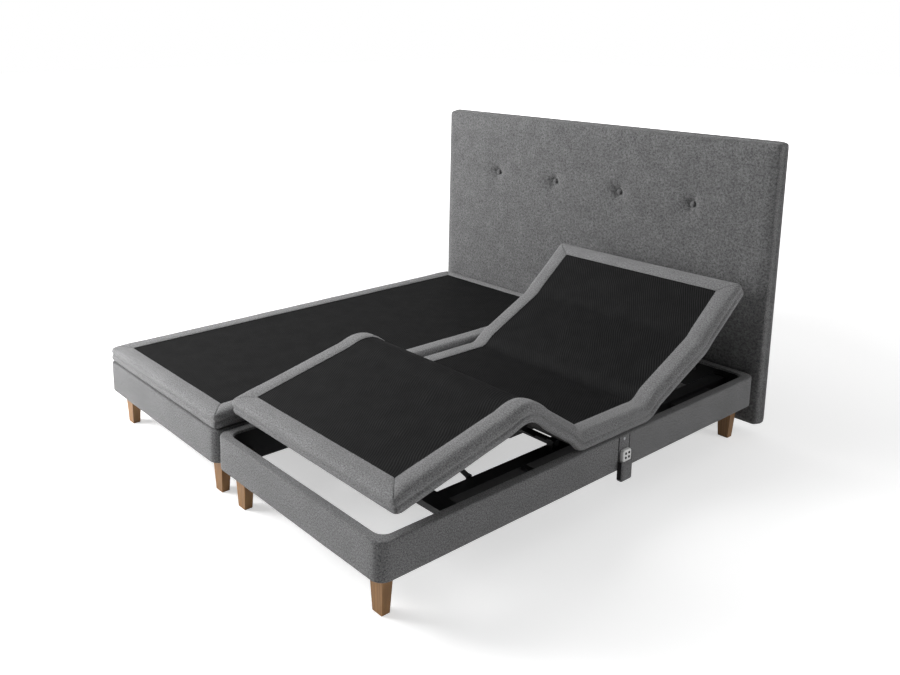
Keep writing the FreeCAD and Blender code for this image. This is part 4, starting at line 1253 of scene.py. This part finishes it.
NODE_FINISHES = (
    ("legs", "oak"), ("chassis", "black_steel"), ("back_frame", "black_steel"), ("neck_arms", "black_steel"),
    ("thigh_frame", "black_steel"), ("calf_arms", "black_steel"), ("calf_links", "black_steel"),
    ("drive_housing", "drive_plastic"), ("back_push", "nylon"), ("leg_push", "nylon"),
    ("control_boxes", "drive_plastic"), ("headboard_bolts", "black_steel"), ("base_clips", "zinc"),
    ("handset_shell", "handset_plastic"), ("handset_key", "key_rubber"),
)


def finish_cad_nodes():
    """Every CAD node gets its finish; the decks and whatever isn't listed are stained board."""
    for name, node in frame["nodes"].items():
        finish = next((finish for start, finish in NODE_FINISHES if name.startswith(start)), "deck_board")
        node.data.materials.clear()
        node.data.materials.append(MATERIALS[finish])


# ---------------------------------------------------------------- studio

def pale_floor():
    """A floor that glows a little, more so far away, so that it runs into the backdrop; the glow, stronger
    where the camera sees it, is painted light that lifts the shade on the floor under and beside the bed.
    """
    clear_selection()
    bpy.ops.mesh.primitive_plane_add(size=60, location=(0, 0, 0))
    floor = named(bpy.context.object, "floor")
    material, tree, shader = bare_material("Pale floor", 0.75, Specular_IOR_Level=0.2)
    shader.inputs["Base Color"].default_value = (0.75, 0.75, 0.75, 1)
    shader.inputs["Emission Color"].default_value = (1, 1, 1, 1)
    away = add(tree, "ShaderNodeVectorMath", {0: own_place(tree)}, operation="LENGTH")
    far = spread(tree, away.outputs["Value"], 2.5, 9.0)
    # Painted light: the floor glows more to the camera, so its shaded parts under the bed look bright.
    seen = times(tree, add(tree, "ShaderNodeLightPath").outputs["Is Camera Ray"], 0.40)
    tree.links.new(plus(tree, plus(tree, far, seen), 0.14), shader.inputs["Emission Strength"])
    floor.data.materials.append(material)


def white_room():
    """A white backdrop, and soft light from all round that is weaker from one side."""
    world = bpy.context.scene.world or bpy.data.worlds.new("Studio")
    bpy.context.scene.world = world
    world.use_nodes = True
    tree = world.node_tree
    white = (1, 1, 1, 1)
    direction = add(tree, "ShaderNodeTexCoord").outputs["Generated"]
    side = add(tree, "ShaderNodeVectorMath", {0: direction, 1: (0.77, -0.64, 0)}, operation="DOT_PRODUCT")
    dimmer = add(tree, "ShaderNodeMapRange", {
        "Value": side.outputs["Value"], "From Min": -0.1, "From Max": 0.9, "To Min": 0.43, "To Max": 0.02},
        clamp=True)
    sky = tree.nodes["Background"]
    sky.inputs["Color"].default_value = white
    tree.links.new(dimmer.outputs["Result"], sky.inputs["Strength"])
    backdrop = add(tree, "ShaderNodeBackground", {"Color": white})
    seen = add(tree, "ShaderNodeLightPath").outputs["Is Camera Ray"]
    either = add(tree, "ShaderNodeMixShader", {0: seen, 1: sky.outputs[0], 2: backdrop.outputs[0]})
    tree.links.new(either.outputs[0], tree.nodes["World Output"].inputs["Surface"])


def studio():
    """Floor, room and three soft boxes."""
    pale_floor()
    white_room()
    soft_box("overhead", (-1.8, -0.9, 3.3), (0, 0, 0.2), 2.4, 74)
    soft_box("left_wall", (-2.7, -3.0, 1.9), (0, 0, 0.5), 2.0, 225)
    soft_box("right_wall", (5.0, 2.6, 2.0), (0, 0, 0.4), 2.4, 80)


def soft_box(name, place, target, size, power):
    """A square area light that faces a point."""
    lamp = bpy.data.lights.new(name, "AREA")
    lamp.size = size
    lamp.energy = power
    light = bpy.data.objects.new(name, lamp)
    bpy.context.scene.collection.objects.link(light)
    light.location = place
    light.rotation_mode = "QUATERNION"
    light.rotation_quaternion = (Vector(target) - Vector(place)).to_track_quat("-Z", "Y")


def camera():
    """A view from the foot of the right base, a little above the headboard."""
    lens = bpy.data.cameras.new("camera")
    lens.sensor_width = 36
    lens.lens = 36.34
    lens.shift_x = 0.0996
    lens.shift_y = -0.1444
    item = bpy.data.objects.new("camera", lens)
    bpy.context.scene.collection.objects.link(item)
    item.location = (2.6475, -2.4946, 1.6764)
    item.rotation_euler = (math.radians(90 - 11.334), 0, math.radians(51.489))
    bpy.context.scene.camera = item


# ---------------------------------------------------------------- assembly

finish_cad_nodes()
dress_platforms()
for side in SIDES:
    frame_cover(side)
    frame_lining(side)
    corner_blocks(side)
headboard_padding()
headboard_buttons()
headboard_back()
holster()
studio()
camera()
clear_selection()
bpy.context.scene.view_settings.view_transform = "Standard"
